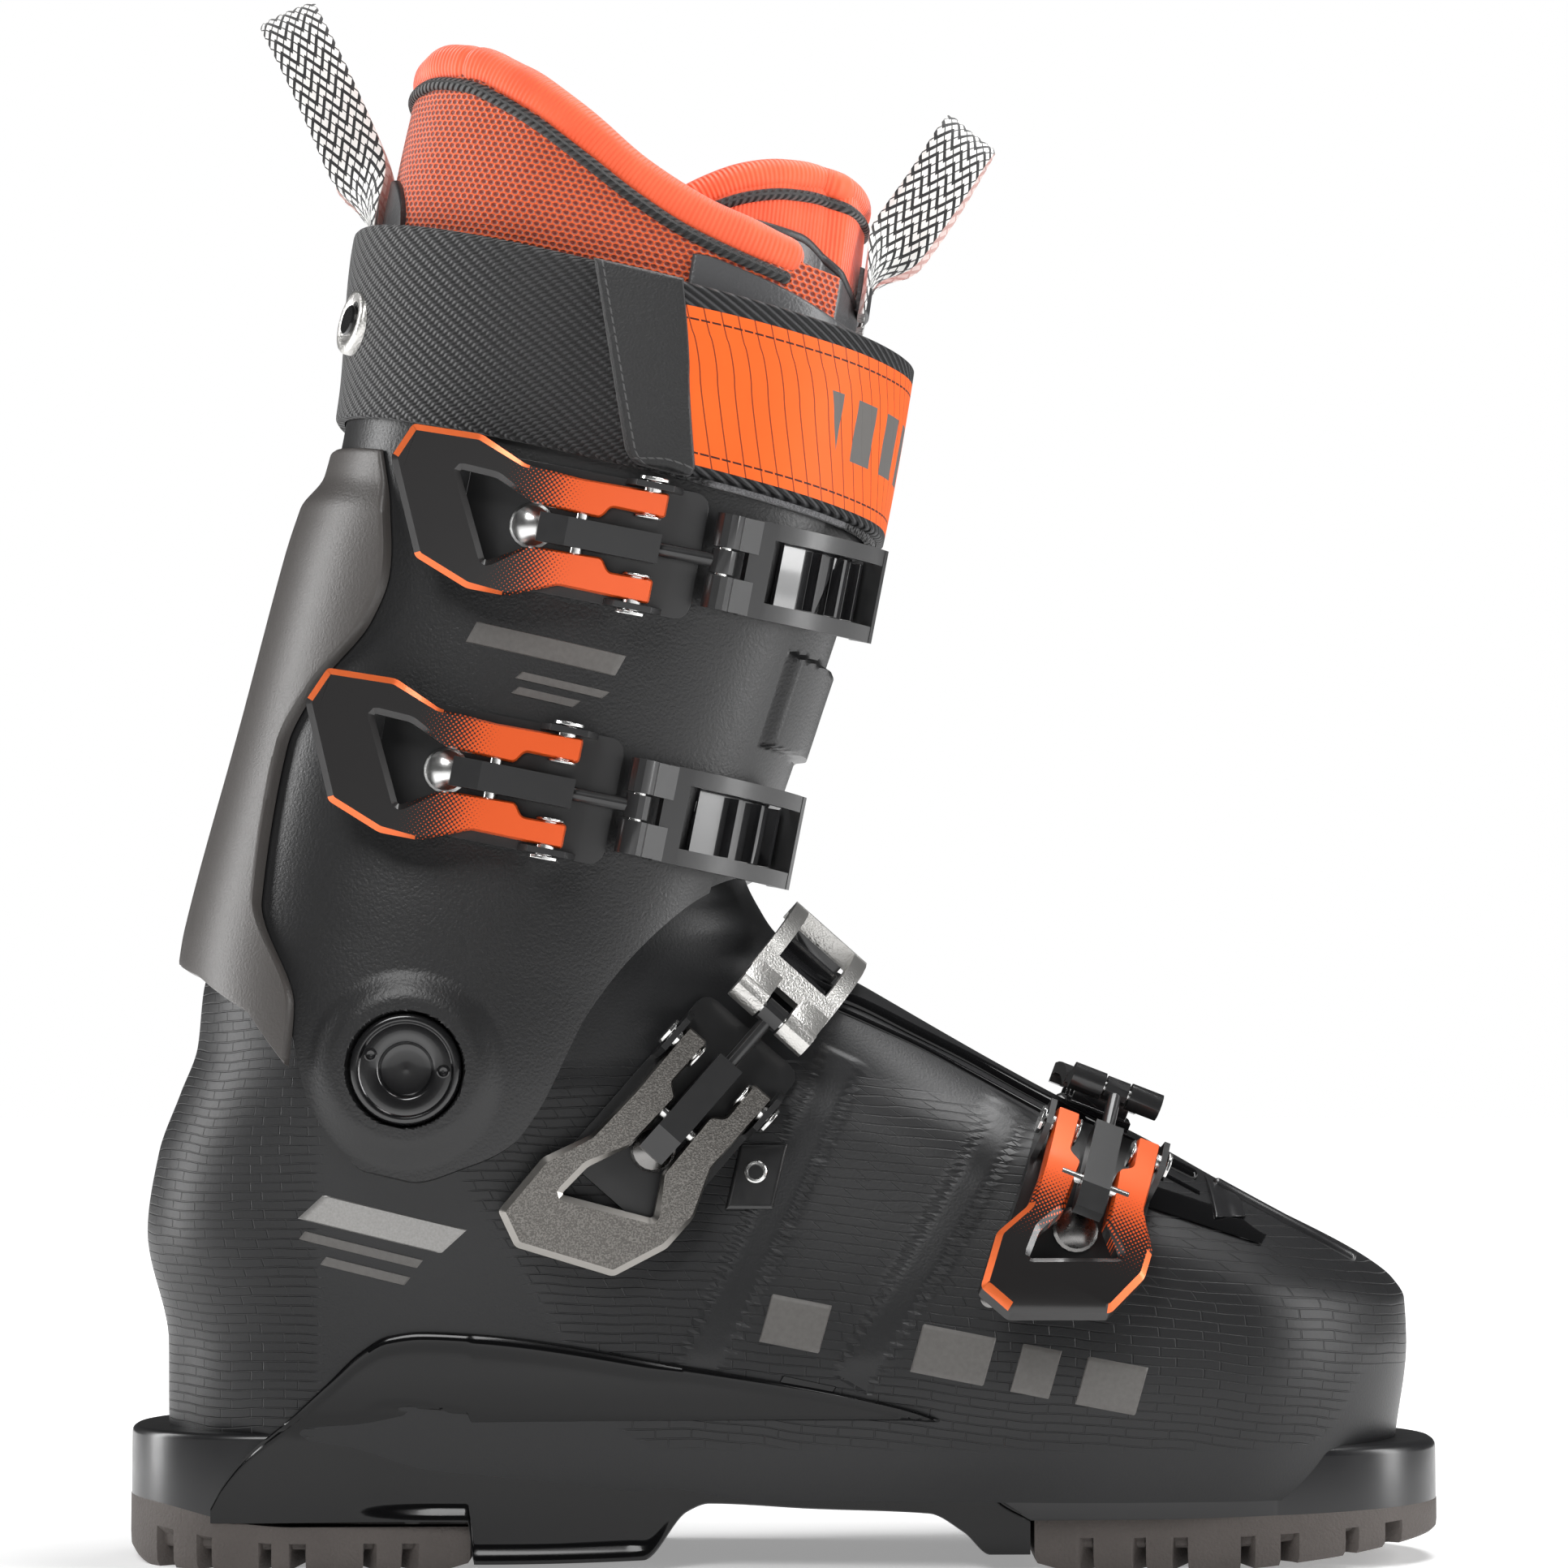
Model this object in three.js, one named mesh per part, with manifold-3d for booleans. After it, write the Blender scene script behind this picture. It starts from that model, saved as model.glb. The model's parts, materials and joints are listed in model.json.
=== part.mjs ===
// An alpine ski boot for the right foot, closed and empty, in millimetres.
// +X points to the toe, +Y to the inner side of the foot, +Z up; the boot stands on Z = 0.
// A hard lower shell stands on two rubber soles and holds a boot board and a soft liner.
// The cuff leans forward round the ankle pivots, and four lever buckles and a strap close it.
import * as THREE from "three";
import { mergeVertices } from "three/addons/utils/BufferGeometryUtils.js";
import Module from "manifold-3d";

const wasm = await Module();
wasm.setup();
const rad = THREE.MathUtils.degToRad;
const { clamp, smoothstep } = THREE.MathUtils;

// Driving dimensions
const SOLE_LENGTH = 306; // heel to toe, a size 26.5 shell
const HALF_SOLE = SOLE_LENGTH / 2;
const LUG_HALF_WIDTH = 34.5; // the binding standard's sole is 69 wide
const HEEL_LUG_TOP = 31;
const TOE_LUG_TOP = 28;
const RUBBER_TOP = 10.8;
const PIVOT_X = -85; // ankle pivots
const PIVOT_Z = 114;
const LEAN = rad(13); // forward lean of the cuff
const SHELL_WALL = 4.5;
const CUFF_WALL = 3.8;
const GAP = 0.4; // between two pieces that touch
const FIT = 0.35; // round a pin in its hole
const CENTRE_Y = 4.51; // puts the middle of the width, buckles included, at Y = 0

// ---- Curves and solids -------------------------------------------------------------------

// A smooth single-valued curve through [t, value] points, with no overshoot between them.
function profile(points) {
  const last = points.length - 1;
  const rise = (i) => (points[i + 1][1] - points[i][1]) / (points[i + 1][0] - points[i][0]);
  const slopes = points.map((_, i) => {
    if (i === 0) return rise(0);
    if (i === last) return rise(last - 1);
    const [before, after] = [rise(i - 1), rise(i)];
    return before * after <= 0 ? 0 : (2 * before * after) / (before + after);
  });
  return (t) => {
    if (t <= points[0][0]) return points[0][1];
    if (t >= points[last][0]) return points[last][1];
    const i = points.findIndex((p) => p[0] > t) - 1;
    const width = points[i + 1][0] - points[i][0];
    const u = (t - points[i][0]) / width;
    const [u2, u3] = [u * u, u * u * u];
    return (
      (2 * u3 - 3 * u2 + 1) * points[i][1] +
      (u3 - 2 * u2 + u) * width * slopes[i] +
      (3 * u2 - 2 * u3) * points[i + 1][1] +
      (u3 - u2) * width * slopes[i + 1]
    );
  };
}

// 0 at the tip of a rounded nose, 1 a nose length behind it.
function nose(t, power) {
  const u = clamp(t, 0, 1);
  return (1 - (1 - u) ** power) ** (1 / power);
}

// A closed mesh with shared vertices as a solid for cutting and joining.
function solid(geometry) {
  const bare = geometry.index ? geometry.toNonIndexed() : geometry.clone();
  bare.deleteAttribute("normal");
  bare.deleteAttribute("uv");
  const merged = mergeVertices(bare, 1e-4);
  return new wasm.Manifold(
    new wasm.Mesh({
      numProp: 3,
      vertProperties: new Float32Array(merged.attributes.position.array),
      triVerts: new Uint32Array(merged.index.array),
    }),
  );
}

function geometryOf(made) {
  const mesh = made.getMesh();
  const geometry = new THREE.BufferGeometry();
  geometry.setAttribute("position", new THREE.BufferAttribute(mesh.vertProperties, 3));
  geometry.setIndex(new THREE.BufferAttribute(mesh.triVerts, 1));
  geometry.computeVertexNormals();
  return geometry;
}

// Triangles that close one end of a loft, whose ring lies in a plane.
function capTriangles(ring) {
  const normal = new THREE.Vector3();
  ring.forEach((p, i) => {
    const q = ring[(i + 1) % ring.length];
    normal.add(new THREE.Vector3().crossVectors(p, q));
  });
  normal.normalize();
  const across = new THREE.Vector3().subVectors(ring[1], ring[0]).normalize();
  const up = new THREE.Vector3().crossVectors(normal, across);
  const flat = ring.map((p) => new THREE.Vector2(p.dot(across), p.dot(up)));
  return THREE.ShapeUtils.triangulateShape(flat, []);
}

// The skin over a list of closed rings with equal point counts, closed at both ends.
function loft(rings) {
  const count = rings[0].length;
  const positions = rings.flat().flatMap((p) => [p.x, p.y, p.z]);
  const faces = [];
  for (let k = 0; k < rings.length - 1; k++) {
    for (let i = 0; i < count; i++) {
      const j = (i + 1) % count;
      const [a, b, c, d] = [k * count + i, k * count + j, (k + 1) * count + j, (k + 1) * count + i];
      faces.push(a, b, c, a, c, d);
    }
  }
  for (const [a, b, c] of capTriangles(rings[0])) faces.push(a, c, b);
  const top = (rings.length - 1) * count;
  for (const [a, b, c] of capTriangles(rings.at(-1))) faces.push(top + a, top + b, top + c);
  const geometry = new THREE.BufferGeometry();
  geometry.setAttribute("position", new THREE.BufferAttribute(new Float32Array(positions), 3));
  geometry.setIndex(faces);
  if (signedVolume(geometry) < 0) {
    for (let i = 0; i < faces.length; i += 3) [faces[i + 1], faces[i + 2]] = [faces[i + 2], faces[i + 1]];
    geometry.setIndex(faces);
  }
  return geometry;
}

function signedVolume(geometry) {
  const at = geometry.attributes.position;
  const [a, b, c] = [new THREE.Vector3(), new THREE.Vector3(), new THREE.Vector3()];
  let total = 0;
  for (let i = 0; i < geometry.index.count; i += 3) {
    a.fromBufferAttribute(at, geometry.index.getX(i));
    b.fromBufferAttribute(at, geometry.index.getX(i + 1));
    c.fromBufferAttribute(at, geometry.index.getX(i + 2));
    total += a.dot(b.cross(c)) / 6;
  }
  return total;
}

const shapeOf = (points) => new THREE.Shape(points.map(([x, y]) => new THREE.Vector2(x, y)));

// An outline in X and Y, raised from z0 to z1.
function upright(points, z0, z1) {
  const geometry = new THREE.ExtrudeGeometry(shapeOf(points), { depth: z1 - z0, bevelEnabled: false });
  return geometry.translate(0, 0, z0);
}

// An outline in X and Z, stretched along Y from y0 to y1.
function sideways(points, y0, y1) {
  const geometry = new THREE.ExtrudeGeometry(shapeOf(points), { depth: y1 - y0, bevelEnabled: false });
  return geometry.rotateX(Math.PI / 2).translate(0, y1, 0);
}

// A round bar along Y.
function bar(radius, x, z, y0, y1, sides = 12) {
  return new THREE.CylinderGeometry(radius, radius, y1 - y0, sides).translate(x, (y0 + y1) / 2, z);
}

function mesh(name, shape, material) {
  const made = new THREE.Mesh(shape.isBufferGeometry ? shape : geometryOf(shape), material);
  made.name = name;
  return made;
}

const plastic = (color, roughness = 0.5) => new THREE.MeshStandardMaterial({ color, roughness, metalness: 0 });
const metal = (color, roughness = 0.3) => new THREE.MeshStandardMaterial({ color, roughness, metalness: 1 });
const SHELL_BLACK = plastic(0x2a2b2c, 0.45);
const GLOSS_BLACK = plastic(0x121212, 0.12);
const SOLE_RUBBER = plastic(0x4a4340, 0.7);
const SPINE_GREY = plastic(0x6b6663, 0.4);
const LEVER_BLACK = plastic(0x242526, 0.35);
const LEVER_METAL = metal(0x6f6d69, 0.45);
const STEEL = metal(0xc8c8c6, 0.25);
const BAIL_SILVER = metal(0xb9b7b2, 0.35);
const BUCKLE_BLACK = plastic(0x1c1d1e, 0.4);
const LINER_ORANGE = plastic(0xd84a1b, 0.85);
const STRAP_BLACK = plastic(0x0d0d0e, 0.8);
const WEBBING = plastic(0xb8b8b6, 0.85);
const FOAM = plastic(0x3a3a3c, 0.8);

// ---- Lower shell -------------------------------------------------------------------------
// The shell is described by its half width at each X and Z, between a rear and a front line.

const shellRear = profile([
  [12, -143], [33, -144.6], [50, -144.8], [76, -150], [94, -147.5], [108, -142.5],
  [119, -138.5], [132, -137.2], [138, -135.5], [144, -130], [152, -125],
]);
const shellFront = profile([
  [12, 142], [30, 144.5], [50, 147], [60, 146.6], [64.5, 144], [69, 138.5], [86, 106],
  [98, 84.5], [108.5, 63], [132.5, 20.5], [145.5, -3], [155, -9],
]);
const soleWidth = profile([
  [-150, 33.5], [-115, 36.5], [-80, 38], [-40, 40], [0, 44], [40, 50], [75, 54], [105, 52],
  [130, 45.5], [150, 39],
]);
const noseLength = profile([[12, 45], [50, 44], [62, 48], [70, 56], [90, 66], [120, 74], [145, 52], [155, 48]]);
const HEEL_ROUND = 38;
const WIDEST_Z = 45;
const SHELL_FLOOR = 16;
const TOE_SWING = 5; // how far the toe box leans to the inner side

const shellMiddle = (x) => TOE_SWING * smoothstep(x, -20, 130);

// inset is how far inside the outer skin the surface lies.
function shellHalfWidth(x, z, inset = 0) {
  const front = Math.min(shellFront(z) - inset, shellFront(z + 1.15 * inset));
  const rear = shellRear(z) + inset;
  const tuckUnder = 1 - 0.24 * clamp((WIDEST_Z - z) / 33, 0, 1) ** 2;
  const instep = 1 - 0.24 * smoothstep(z, 45, 120) * smoothstep(x, -60, 10);
  const ankle = 1 + 0.27 * Math.exp(-(((x + 82) / 36) ** 2) - ((z - 124) / 44) ** 2);
  const width = soleWidth(x) * tuckUnder * instep * ankle - inset;
  return width * nose((x - rear) / HEEL_ROUND, 2.1) * nose((front - x) / noseLength(z), 2.2);
}

function shellRing(z, inset, count) {
  const front = Math.min(shellFront(z) - inset, shellFront(z + 1.15 * inset));
  const rear = shellRear(z) + inset;
  const ring = [];
  for (let i = 0; i < count; i++) {
    const turn = (2 * Math.PI * i) / count;
    const x = (rear + front) / 2 - ((front - rear) / 2) * Math.cos(turn);
    const side = i === 0 || 2 * i === count ? 0 : Math.sign(Math.sin(turn));
    ring.push(new THREE.Vector3(x, shellMiddle(x) + side * shellHalfWidth(x, z, inset), z));
  }
  return ring;
}

const shellSkin = (levels, inset, count) => loft(levels.map((z) => shellRing(z, inset, count)));
const SHELL_LEVELS = [SHELL_FLOOR, 23, 32, 46, 58, 64, 69, 76, 86, 98, 110, 122, 134, 144, 152];
const CAVITY_FLOOR = 18;
const CAVITY_LEVELS = [CAVITY_FLOOR, 26, 44, 58, 66, 80, 96, 112, 128, 140, 160];

// Plan outline of a sole lug: a half oval end on a straight block.
function lugOutline(tip, inner, halfWidth, round) {
  const toward = Math.sign(tip - inner);
  const points = [];
  for (let i = 0; i <= 12; i++) {
    const turn = -Math.PI / 2 + (Math.PI * i) / 12;
    const x = tip - toward * round + toward * round * Math.cos(turn) ** 0.9;
    points.push([x, halfWidth * Math.sign(Math.sin(turn)) * Math.abs(Math.sin(turn)) ** 0.9]);
  }
  points.push([inner, halfWidth], [inner, -halfWidth]);
  return points;
}

// Side outline of the arch chassis, the glossy stiffener between the two soles.
const CHASSIS_OUTLINE = [
  [-118, 11.1], [-118, 22], [-104, 38.5], [-91, 53], [-84, 55.5], [-70, 55.5], [-20, 48.3], [24, 39.6],
  [37, 35.3], [44, 27.5], [49, 16], [56.7, 11.1], [56.7, 3.2], [47, 3.2], [41, 8.5], [35, 12.6],
  [6, 14], [-18, 15.2], [-21, 14], [-31, 2.4], [-70.9, 1.2], [-70.9, 11.1],
];
const HEEL_SOLE_END = -71.3;
const TOE_SOLE_START = 57;

function grown(outline, by) {
  return outline.map(([x, z], i) => {
    const [px, pz] = outline[(i + outline.length - 1) % outline.length];
    const [nx, nz] = outline[(i + 1) % outline.length];
    const along = new THREE.Vector2(nx - px, nz - pz).normalize();
    return [x - along.y * by, z + along.x * by];
  });
}

const heelLug = solid(upright(lugOutline(-HALF_SOLE, -25, LUG_HALF_WIDTH, 36), RUBBER_TOP + GAP, HEEL_LUG_TOP));
const toeLug = solid(upright(lugOutline(HALF_SOLE, 40, LUG_HALF_WIDTH, 42), RUBBER_TOP + GAP, TOE_LUG_TOP));
const cavity = solid(shellSkin(CAVITY_LEVELS, SHELL_WALL, 36));
const pivotHole = (radius, y0, y1) => solid(bar(radius, PIVOT_X, PIVOT_Z, y0, y1, 20));
const PIVOT_SHAFT = 5;

function lowerShell() {
  const topEdge = solid(
    sideways([[-170, 149.5], [-60, 149.5], [-25, 145.5], [20, 142.5], [20, 200], [-170, 200]], -90, 90),
  );
  const overlapSlit = solid(new THREE.BoxGeometry(140, 0.8, 110).translate(30, 9, 125));
  return solid(shellSkin(SHELL_LEVELS, 0, 48))
    .add(heelLug)
    .add(toeLug)
    .subtract(cavity)
    .subtract(topEdge)
    .subtract(overlapSlit)
    .subtract(solid(sideways(grown(CHASSIS_OUTLINE, GAP), -90, 90)))
    .subtract(pivotHole(PIVOT_SHAFT + FIT, -80, 80));
}

function archChassis() {
  const foot = solid(upright(lugOutline(-HALF_SOLE, 70, LUG_HALF_WIDTH - 1, 30), 0.5, 22));
  return solid(shellSkin([SHELL_FLOOR, 23, 32, 46, 58, 64], -0.9, 48))
    .add(foot)
    .intersect(solid(sideways(CHASSIS_OUTLINE, -90, 90)))
    .subtract(cavity);
}

const HEEL_SOLE_SIDE = [
  [-160, 6], [-146, 0], [-78, 0], [HEEL_SOLE_END, 1.5], [HEEL_SOLE_END, RUBBER_TOP], [-160, RUBBER_TOP],
];
const TOE_SOLE_SIDE = [
  [TOE_SOLE_START, RUBBER_TOP], [TOE_SOLE_START, 1.5], [64, 0], [98, 0], [122, 2.6], [146, 6.5], [160, 9],
  [160, RUBBER_TOP],
];

// A rubber sole: the lug's plan with tread grooves cut across its underside.
function rubberSole(plan, side, grooves) {
  let made = solid(upright(plan, -1, RUBBER_TOP)).intersect(solid(sideways(side, -60, 60)));
  for (const [x, slant] of grooves) {
    const groove = new THREE.BoxGeometry(3.2, 26, 4.4).rotateZ(slant);
    made = made.subtract(solid(groove.clone().translate(x, 30, 0)));
    made = made.subtract(solid(groove.clone().rotateX(Math.PI).translate(x, -30, 0)));
  }
  return made;
}

function bootBoard() {
  const levels = [CAVITY_FLOOR + GAP, CAVITY_FLOOR + 5];
  return shellSkin(levels, SHELL_WALL + 1.6, 32);
}

const LINER_FOOT_TOP = 116;

function linerFoot() {
  const outside = [24, 34, 50, 60, 72, 88, 104, LINER_FOOT_TOP];
  const inside = [30, 40, 52, 62, 76, 92, 106, LINER_FOOT_TOP + 4];
  return solid(shellSkin(outside, SHELL_WALL + 2, 36)).subtract(solid(shellSkin(inside, SHELL_WALL + 8, 28)));
}

// ---- Cuff and what it carries ------------------------------------------------------------
// The leg group's origin is the ankle pivot and its Z runs up the leaning shin.
// Every leg piece is a band of one oval: its axes at each height, less an inset.

const cuffRear = profile([[-34, -50], [0, -55], [20, -57], [70, -55.5], [110, -54.5], [137, -52.5], [186, -58.5], [240, -60]]);
const cuffFront = profile([[-34, 61], [0, 63.5], [20, 65.5], [57, 66.5], [100, 70.5], [140, 73.5], [186, 71], [240, 66]]);
const cuffWidth = profile([[-34, 53], [0, 54.5], [30, 52.5], [60, 50.5], [110, 51], [150, 53], [186, 54], [240, 50]]);
const OVAL_POWER = 2.4;
const power = (value, exponent) => Math.sign(value) * Math.abs(value) ** exponent;

// turn is 0 at the shin, -90 degrees at the outer side, 180 at the calf.
function legPoint(height, turn, inset) {
  const middle = (cuffFront(height) + cuffRear(height)) / 2;
  const length = (cuffFront(height) - cuffRear(height)) / 2 - inset;
  const x = middle + length * power(Math.cos(turn), 2 / OVAL_POWER);
  const y = (cuffWidth(height) - inset) * power(Math.sin(turn), 2 / OVAL_POWER);
  return new THREE.Vector3(x, y, height);
}

function cuffHalfWidth(x, height) {
  const middle = (cuffFront(height) + cuffRear(height)) / 2;
  const along = Math.abs(x - middle) / ((cuffFront(height) - cuffRear(height)) / 2);
  return along >= 1 ? 0 : cuffWidth(height) * (1 - along ** OVAL_POWER) ** (1 / OVAL_POWER);
}

// A full oval ring, or with from and to, an arc of wall between two insets, which may be functions.
function ovalRing(height, inset, count) {
  return Array.from({ length: count }, (_, i) => legPoint(height, (2 * Math.PI * i) / count, inset));
}

function wallRing(height, from, to, outer, inner, count) {
  const at = (inset, i) => {
    const turn = from + ((to - from) * i) / count;
    return legPoint(height, turn, typeof inset === "function" ? inset(turn) : inset);
  };
  const outside = Array.from({ length: count + 1 }, (_, i) => at(outer, i));
  const inside = Array.from({ length: count + 1 }, (_, i) => at(inner, count - i));
  return [...outside, ...inside];
}

const ovalSkin = (heights, inset, count) => loft(heights.map((h) => ovalRing(h, inset, count)));

// Side outlines on the leg are given in the boot's own X and Z and turned into the leg's frame.
function legOutline(points) {
  const [cos, sin] = [Math.cos(LEAN), Math.sin(LEAN)];
  return points.map(([x, z]) => {
    const [dx, dz] = [x - PIVOT_X, z - PIVOT_Z];
    return [dx * cos - dz * sin, dx * sin + dz * cos];
  });
}

const CUFF_TOP = 178;
const FLAP_END = rad(-35); // the outer flap's edge, beside the shin
const UNDER_FLAP_END = rad(-72); // the inner flap runs on under it
const CUFF_LOWER_EDGE = [
  [-140, 153], [-124, 150], [-110, 122], [-108, 110], [-101, 97.5], [-94, 91], [-84.5, 89], [-70, 92.5],
  [-61, 97], [-56, 104], [-44.6, 126], [-30, 144], [-17.4, 154], [-6, 158.5], [60, 163],
];
const DISC_RADIUS = 12.6;

function cuff() {
  // The wall thins where the two flaps lie on each other, and the inner flap comes out flush at the shin.
  const thin = 1.75;
  const under = CUFF_WALL - thin;
  const outer = (turn) => under * (1 - smoothstep(turn, FLAP_END, rad(25)));
  const inner = (turn) => {
    const lapped = smoothstep(turn, rad(270), rad(284));
    return CUFF_WALL + lapped * (thin - CUFF_WALL);
  };
  const heights = [-30, -8, 14, 40, 70, 100, 128, 152, CUFF_TOP];
  const rings = heights.map((h) => wallRing(h, UNDER_FLAP_END, FLAP_END + 2 * Math.PI, outer, inner, 44));
  const side = legOutline([...CUFF_LOWER_EDGE, [80, 400], [-200, 400], [-200, 153]]);
  return solid(loft(rings))
    .intersect(solid(sideways(side, -90, 90)))
    .subtract(solid(bar(DISC_RADIUS + FIT, 0, 0, -80, 0, 24)))
    .subtract(solid(bar(PIVOT_SHAFT + FIT, 0, 0, 0, 80, 16)));
}

const SPINE_OUTLINE = [
  [-150, 268], [-101, 258.5], [-92, 256], [-90, 243], [-90.2, 225], [-94, 216], [-107, 201], [-114, 188],
  [-119, 152.5], [-110.5, 128.5], [-111.5, 114.5], [-127, 131.5], [-150, 144],
];

// The spine is a stiffening cap over the calf side, thickest on its ridge.
function rearSpine() {
  const thickness = (turn) => -GAP - 2 - 2.2 * clamp(-Math.cos(turn), 0, 1) ** 6;
  const rings = [-8, 14, 40, 70, 100, 128, 152].map((h) => {
    const thinner = h > 127 ? 0.35 : 1;
    return wallRing(h, rad(95), rad(265), (turn) => -GAP + thinner * (thickness(turn) + GAP), -GAP, 18);
  });
  return solid(loft(rings)).intersect(solid(sideways(legOutline(SPINE_OUTLINE), -90, 90)));
}

const STRAP_LOW = 144;
const STRAP_HIGH = 188;
const STRAP_THICK = 2.2;

// The strap goes round the top of the cuff, and its end laps over the outer side and the shin.
function powerStrap() {
  const lap = (turn) => {
    const from = smoothstep(turn, rad(-96), rad(-92));
    return -GAP - STRAP_THICK * (1 + from * (1 - smoothstep(turn, rad(40), rad(46))));
  };
  const rings = [STRAP_LOW, 152, CUFF_TOP, STRAP_HIGH].map((h) =>
    Array.from({ length: 64 }, (_, i) => {
      const turn = -Math.PI + (2 * Math.PI * i) / 64;
      return legPoint(h, turn, lap(turn));
    }),
  );
  return solid(loft(rings)).subtract(solid(ovalSkin([128, 152, CUFF_TOP, STRAP_HIGH, 200], -GAP, 64)));
}

const LINER_INSET = CUFF_WALL + 1;
const LINER_THICK = 8.5;
const LINER_OPEN = rad(38); // each side of the shin
const linerTuck = profile([[-20, 9.5], [25, 9.5], [42, 10.2], [60, 4], [75, 0.3], [186, 0.3], [200, 0], [240, 0]]); // slimmer inside the lower shell

function linerShaft() {
  const rings = [6, 30, 42, 60, 80, 110, 150, 190, 228, 240].map((h) => {
    const inset = LINER_INSET + linerTuck(h);
    return wallRing(h, LINER_OPEN, 2 * Math.PI - LINER_OPEN, inset, inset + LINER_THICK, 28);
  });
  const side = legOutline([
    [-150, 117.2], [0, 133.8], [20, 140], [20, 285], [2, 292], [-20, 306], [-43, 326], [-62, 343],
    [-72, 350], [-84, 352], [-100, 345],
  ]);
  return solid(loft(rings)).intersect(solid(sideways(side, -90, 90)));
}

const TONGUE_THICK = 6.5;

// The tongue's middle fills the opening and its edges lie inside the shaft.
function linerTongue() {
  const reach = rad(62);
  const rings = [30, 42, 60, 80, 110, 150, 190, 228].map((h) => {
    const inside = LINER_INSET + linerTuck(h) + LINER_THICK + 1;
    const outer = (turn) => inside - 3 * (1 - smoothstep(Math.abs(turn), rad(26), rad(34)));
    return wallRing(h, -reach, reach, outer, inside + TONGUE_THICK, 28);
  });
  const side = legOutline([[-60, 130], [40, 150], [60, 326], [15, 324], [-14, 319], [-40, 300], [-60, 250]]);
  return solid(loft(rings)).intersect(solid(sideways(side, -90, 90)));
}

// A webbing loop: a flat band whose ends lie across the liner and which turns its width towards
// `across` as it leaves them.
function webbingLoop(points, across, width, thick) {
  const path = new THREE.CatmullRomCurve3(points.map((p) => new THREE.Vector3(...p)), false, "centripetal");
  const steps = 28;
  const rings = [];
  for (let i = 0; i <= steps; i++) {
    const at = path.getPointAt(i / steps);
    const twist = smoothstep(Math.min(i, steps - i) / steps, 0.05, 0.24);
    const side = new THREE.Vector3(0, -Math.sign(points[0][1]) * Math.sign(steps / 2 - i), 0);
    side.lerp(across.clone().normalize(), twist);
    const out = new THREE.Vector3().crossVectors(path.getTangentAt(i / steps), side).normalize();
    side.crossVectors(out, path.getTangentAt(i / steps)).normalize();
    rings.push(
      [[-1, -1], [1, -1], [1, 1], [-1, 1]].map(([u, v]) =>
        at.clone().addScaledVector(side, (u * width) / 2).addScaledVector(out, (v * thick) / 2),
      ),
    );
  }
  return loft(rings);
}

const WEB_WIDTH = 14.5;
const WEB_THICK = 1.6;
const REAR_LOOP_SIDE = [
  [-55.5, -9, 180.5], [-55.8, -9, 188], [-60, -9.5, 198], [-73, -10, 217], [-82.5, -9, 229],
  [-88, -5, 235.5], [-90, 0, 238],
];
const REAR_ACROSS = new THREE.Vector3(-0.8, 0, -0.6);
const FRONT_LOOP_SIDE = [
  [60.9, -10, 196], [60.6, -10, 204], [65, -10, 216], [71, -9, 229], [75, -6, 240], [76.5, 0, 244],
];
const FRONT_ACROSS = new THREE.Vector3(0.9, 0, -0.44);
const bothSides = (points) => [...points, ...points.slice(0, -1).reverse().map(([x, y, z]) => [x, -y, z])];

// ---- Pivots ------------------------------------------------------------------------------
// Turned about Y, the way out of the boot, with the outer one facing the other way.

function pivotDisc() {
  const [face, seat] = [55.3, 50];
  return new THREE.LatheGeometry(
    [
      [0, 44.2], [PIVOT_SHAFT, 44.2], [PIVOT_SHAFT, seat], [DISC_RADIUS, seat], [DISC_RADIUS, face - 1],
      [11, face], [6.4, face - 0.4], [5.6, face - 1.6], [0, face - 1.6],
    ].map(([r, z]) => new THREE.Vector2(r, z)),
    24,
  );
}

function pivotBolt() {
  return new THREE.LatheGeometry(
    [[0, 44.2], [PIVOT_SHAFT, 44.2], [PIVOT_SHAFT, 55.2], [8.6, 55.2], [8.6, 56.2], [5, 58.4], [0, 59]].map(
      ([r, z]) => new THREE.Vector2(r, z),
    ),
    20,
  );
}

// ---- Buckles -----------------------------------------------------------------------------
// A buckle is built in its own frame: X runs along the pull, from the lever's handle to the hook,
// Y is the hinges' direction and Z points out of the boot. The lever pivots on X = 0.

const PIVOT_HIGH = 9; // the lever pivot above the skin under it
const LINK = 14.5; // lever pivot to barrel pin
const ROD = 33; // barrel pin to bail pin
const BAIL_HALF = 11;
const RIVET = 2.1;
const PIN = 1.5;
const TOOTH_PITCH = 8;
const HOOK_AT = 62; // along the skin, from under the lever pivot to the bail's hook

const LEVER_OUTLINE = [
  [3.8, 12.6], [-16, 12.2], [-29, 13], [-40, 17.8], [-55.5, 17.3], [-59, 9], [-49.5, -12], [-37, -16.8],
  [-28, -16.8], [-17, -12.3], [3.8, -12.6], [3.8, -7], [-6.5, -7.2], [-8.5, -4.3], [-25, -4.8],
  [-34, -10], [-43.5, 9.2], [-35, 8.8], [-25.5, 4.8], [-10.5, 4.3], [-8.5, 7.2], [3.8, 7],
];

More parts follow.
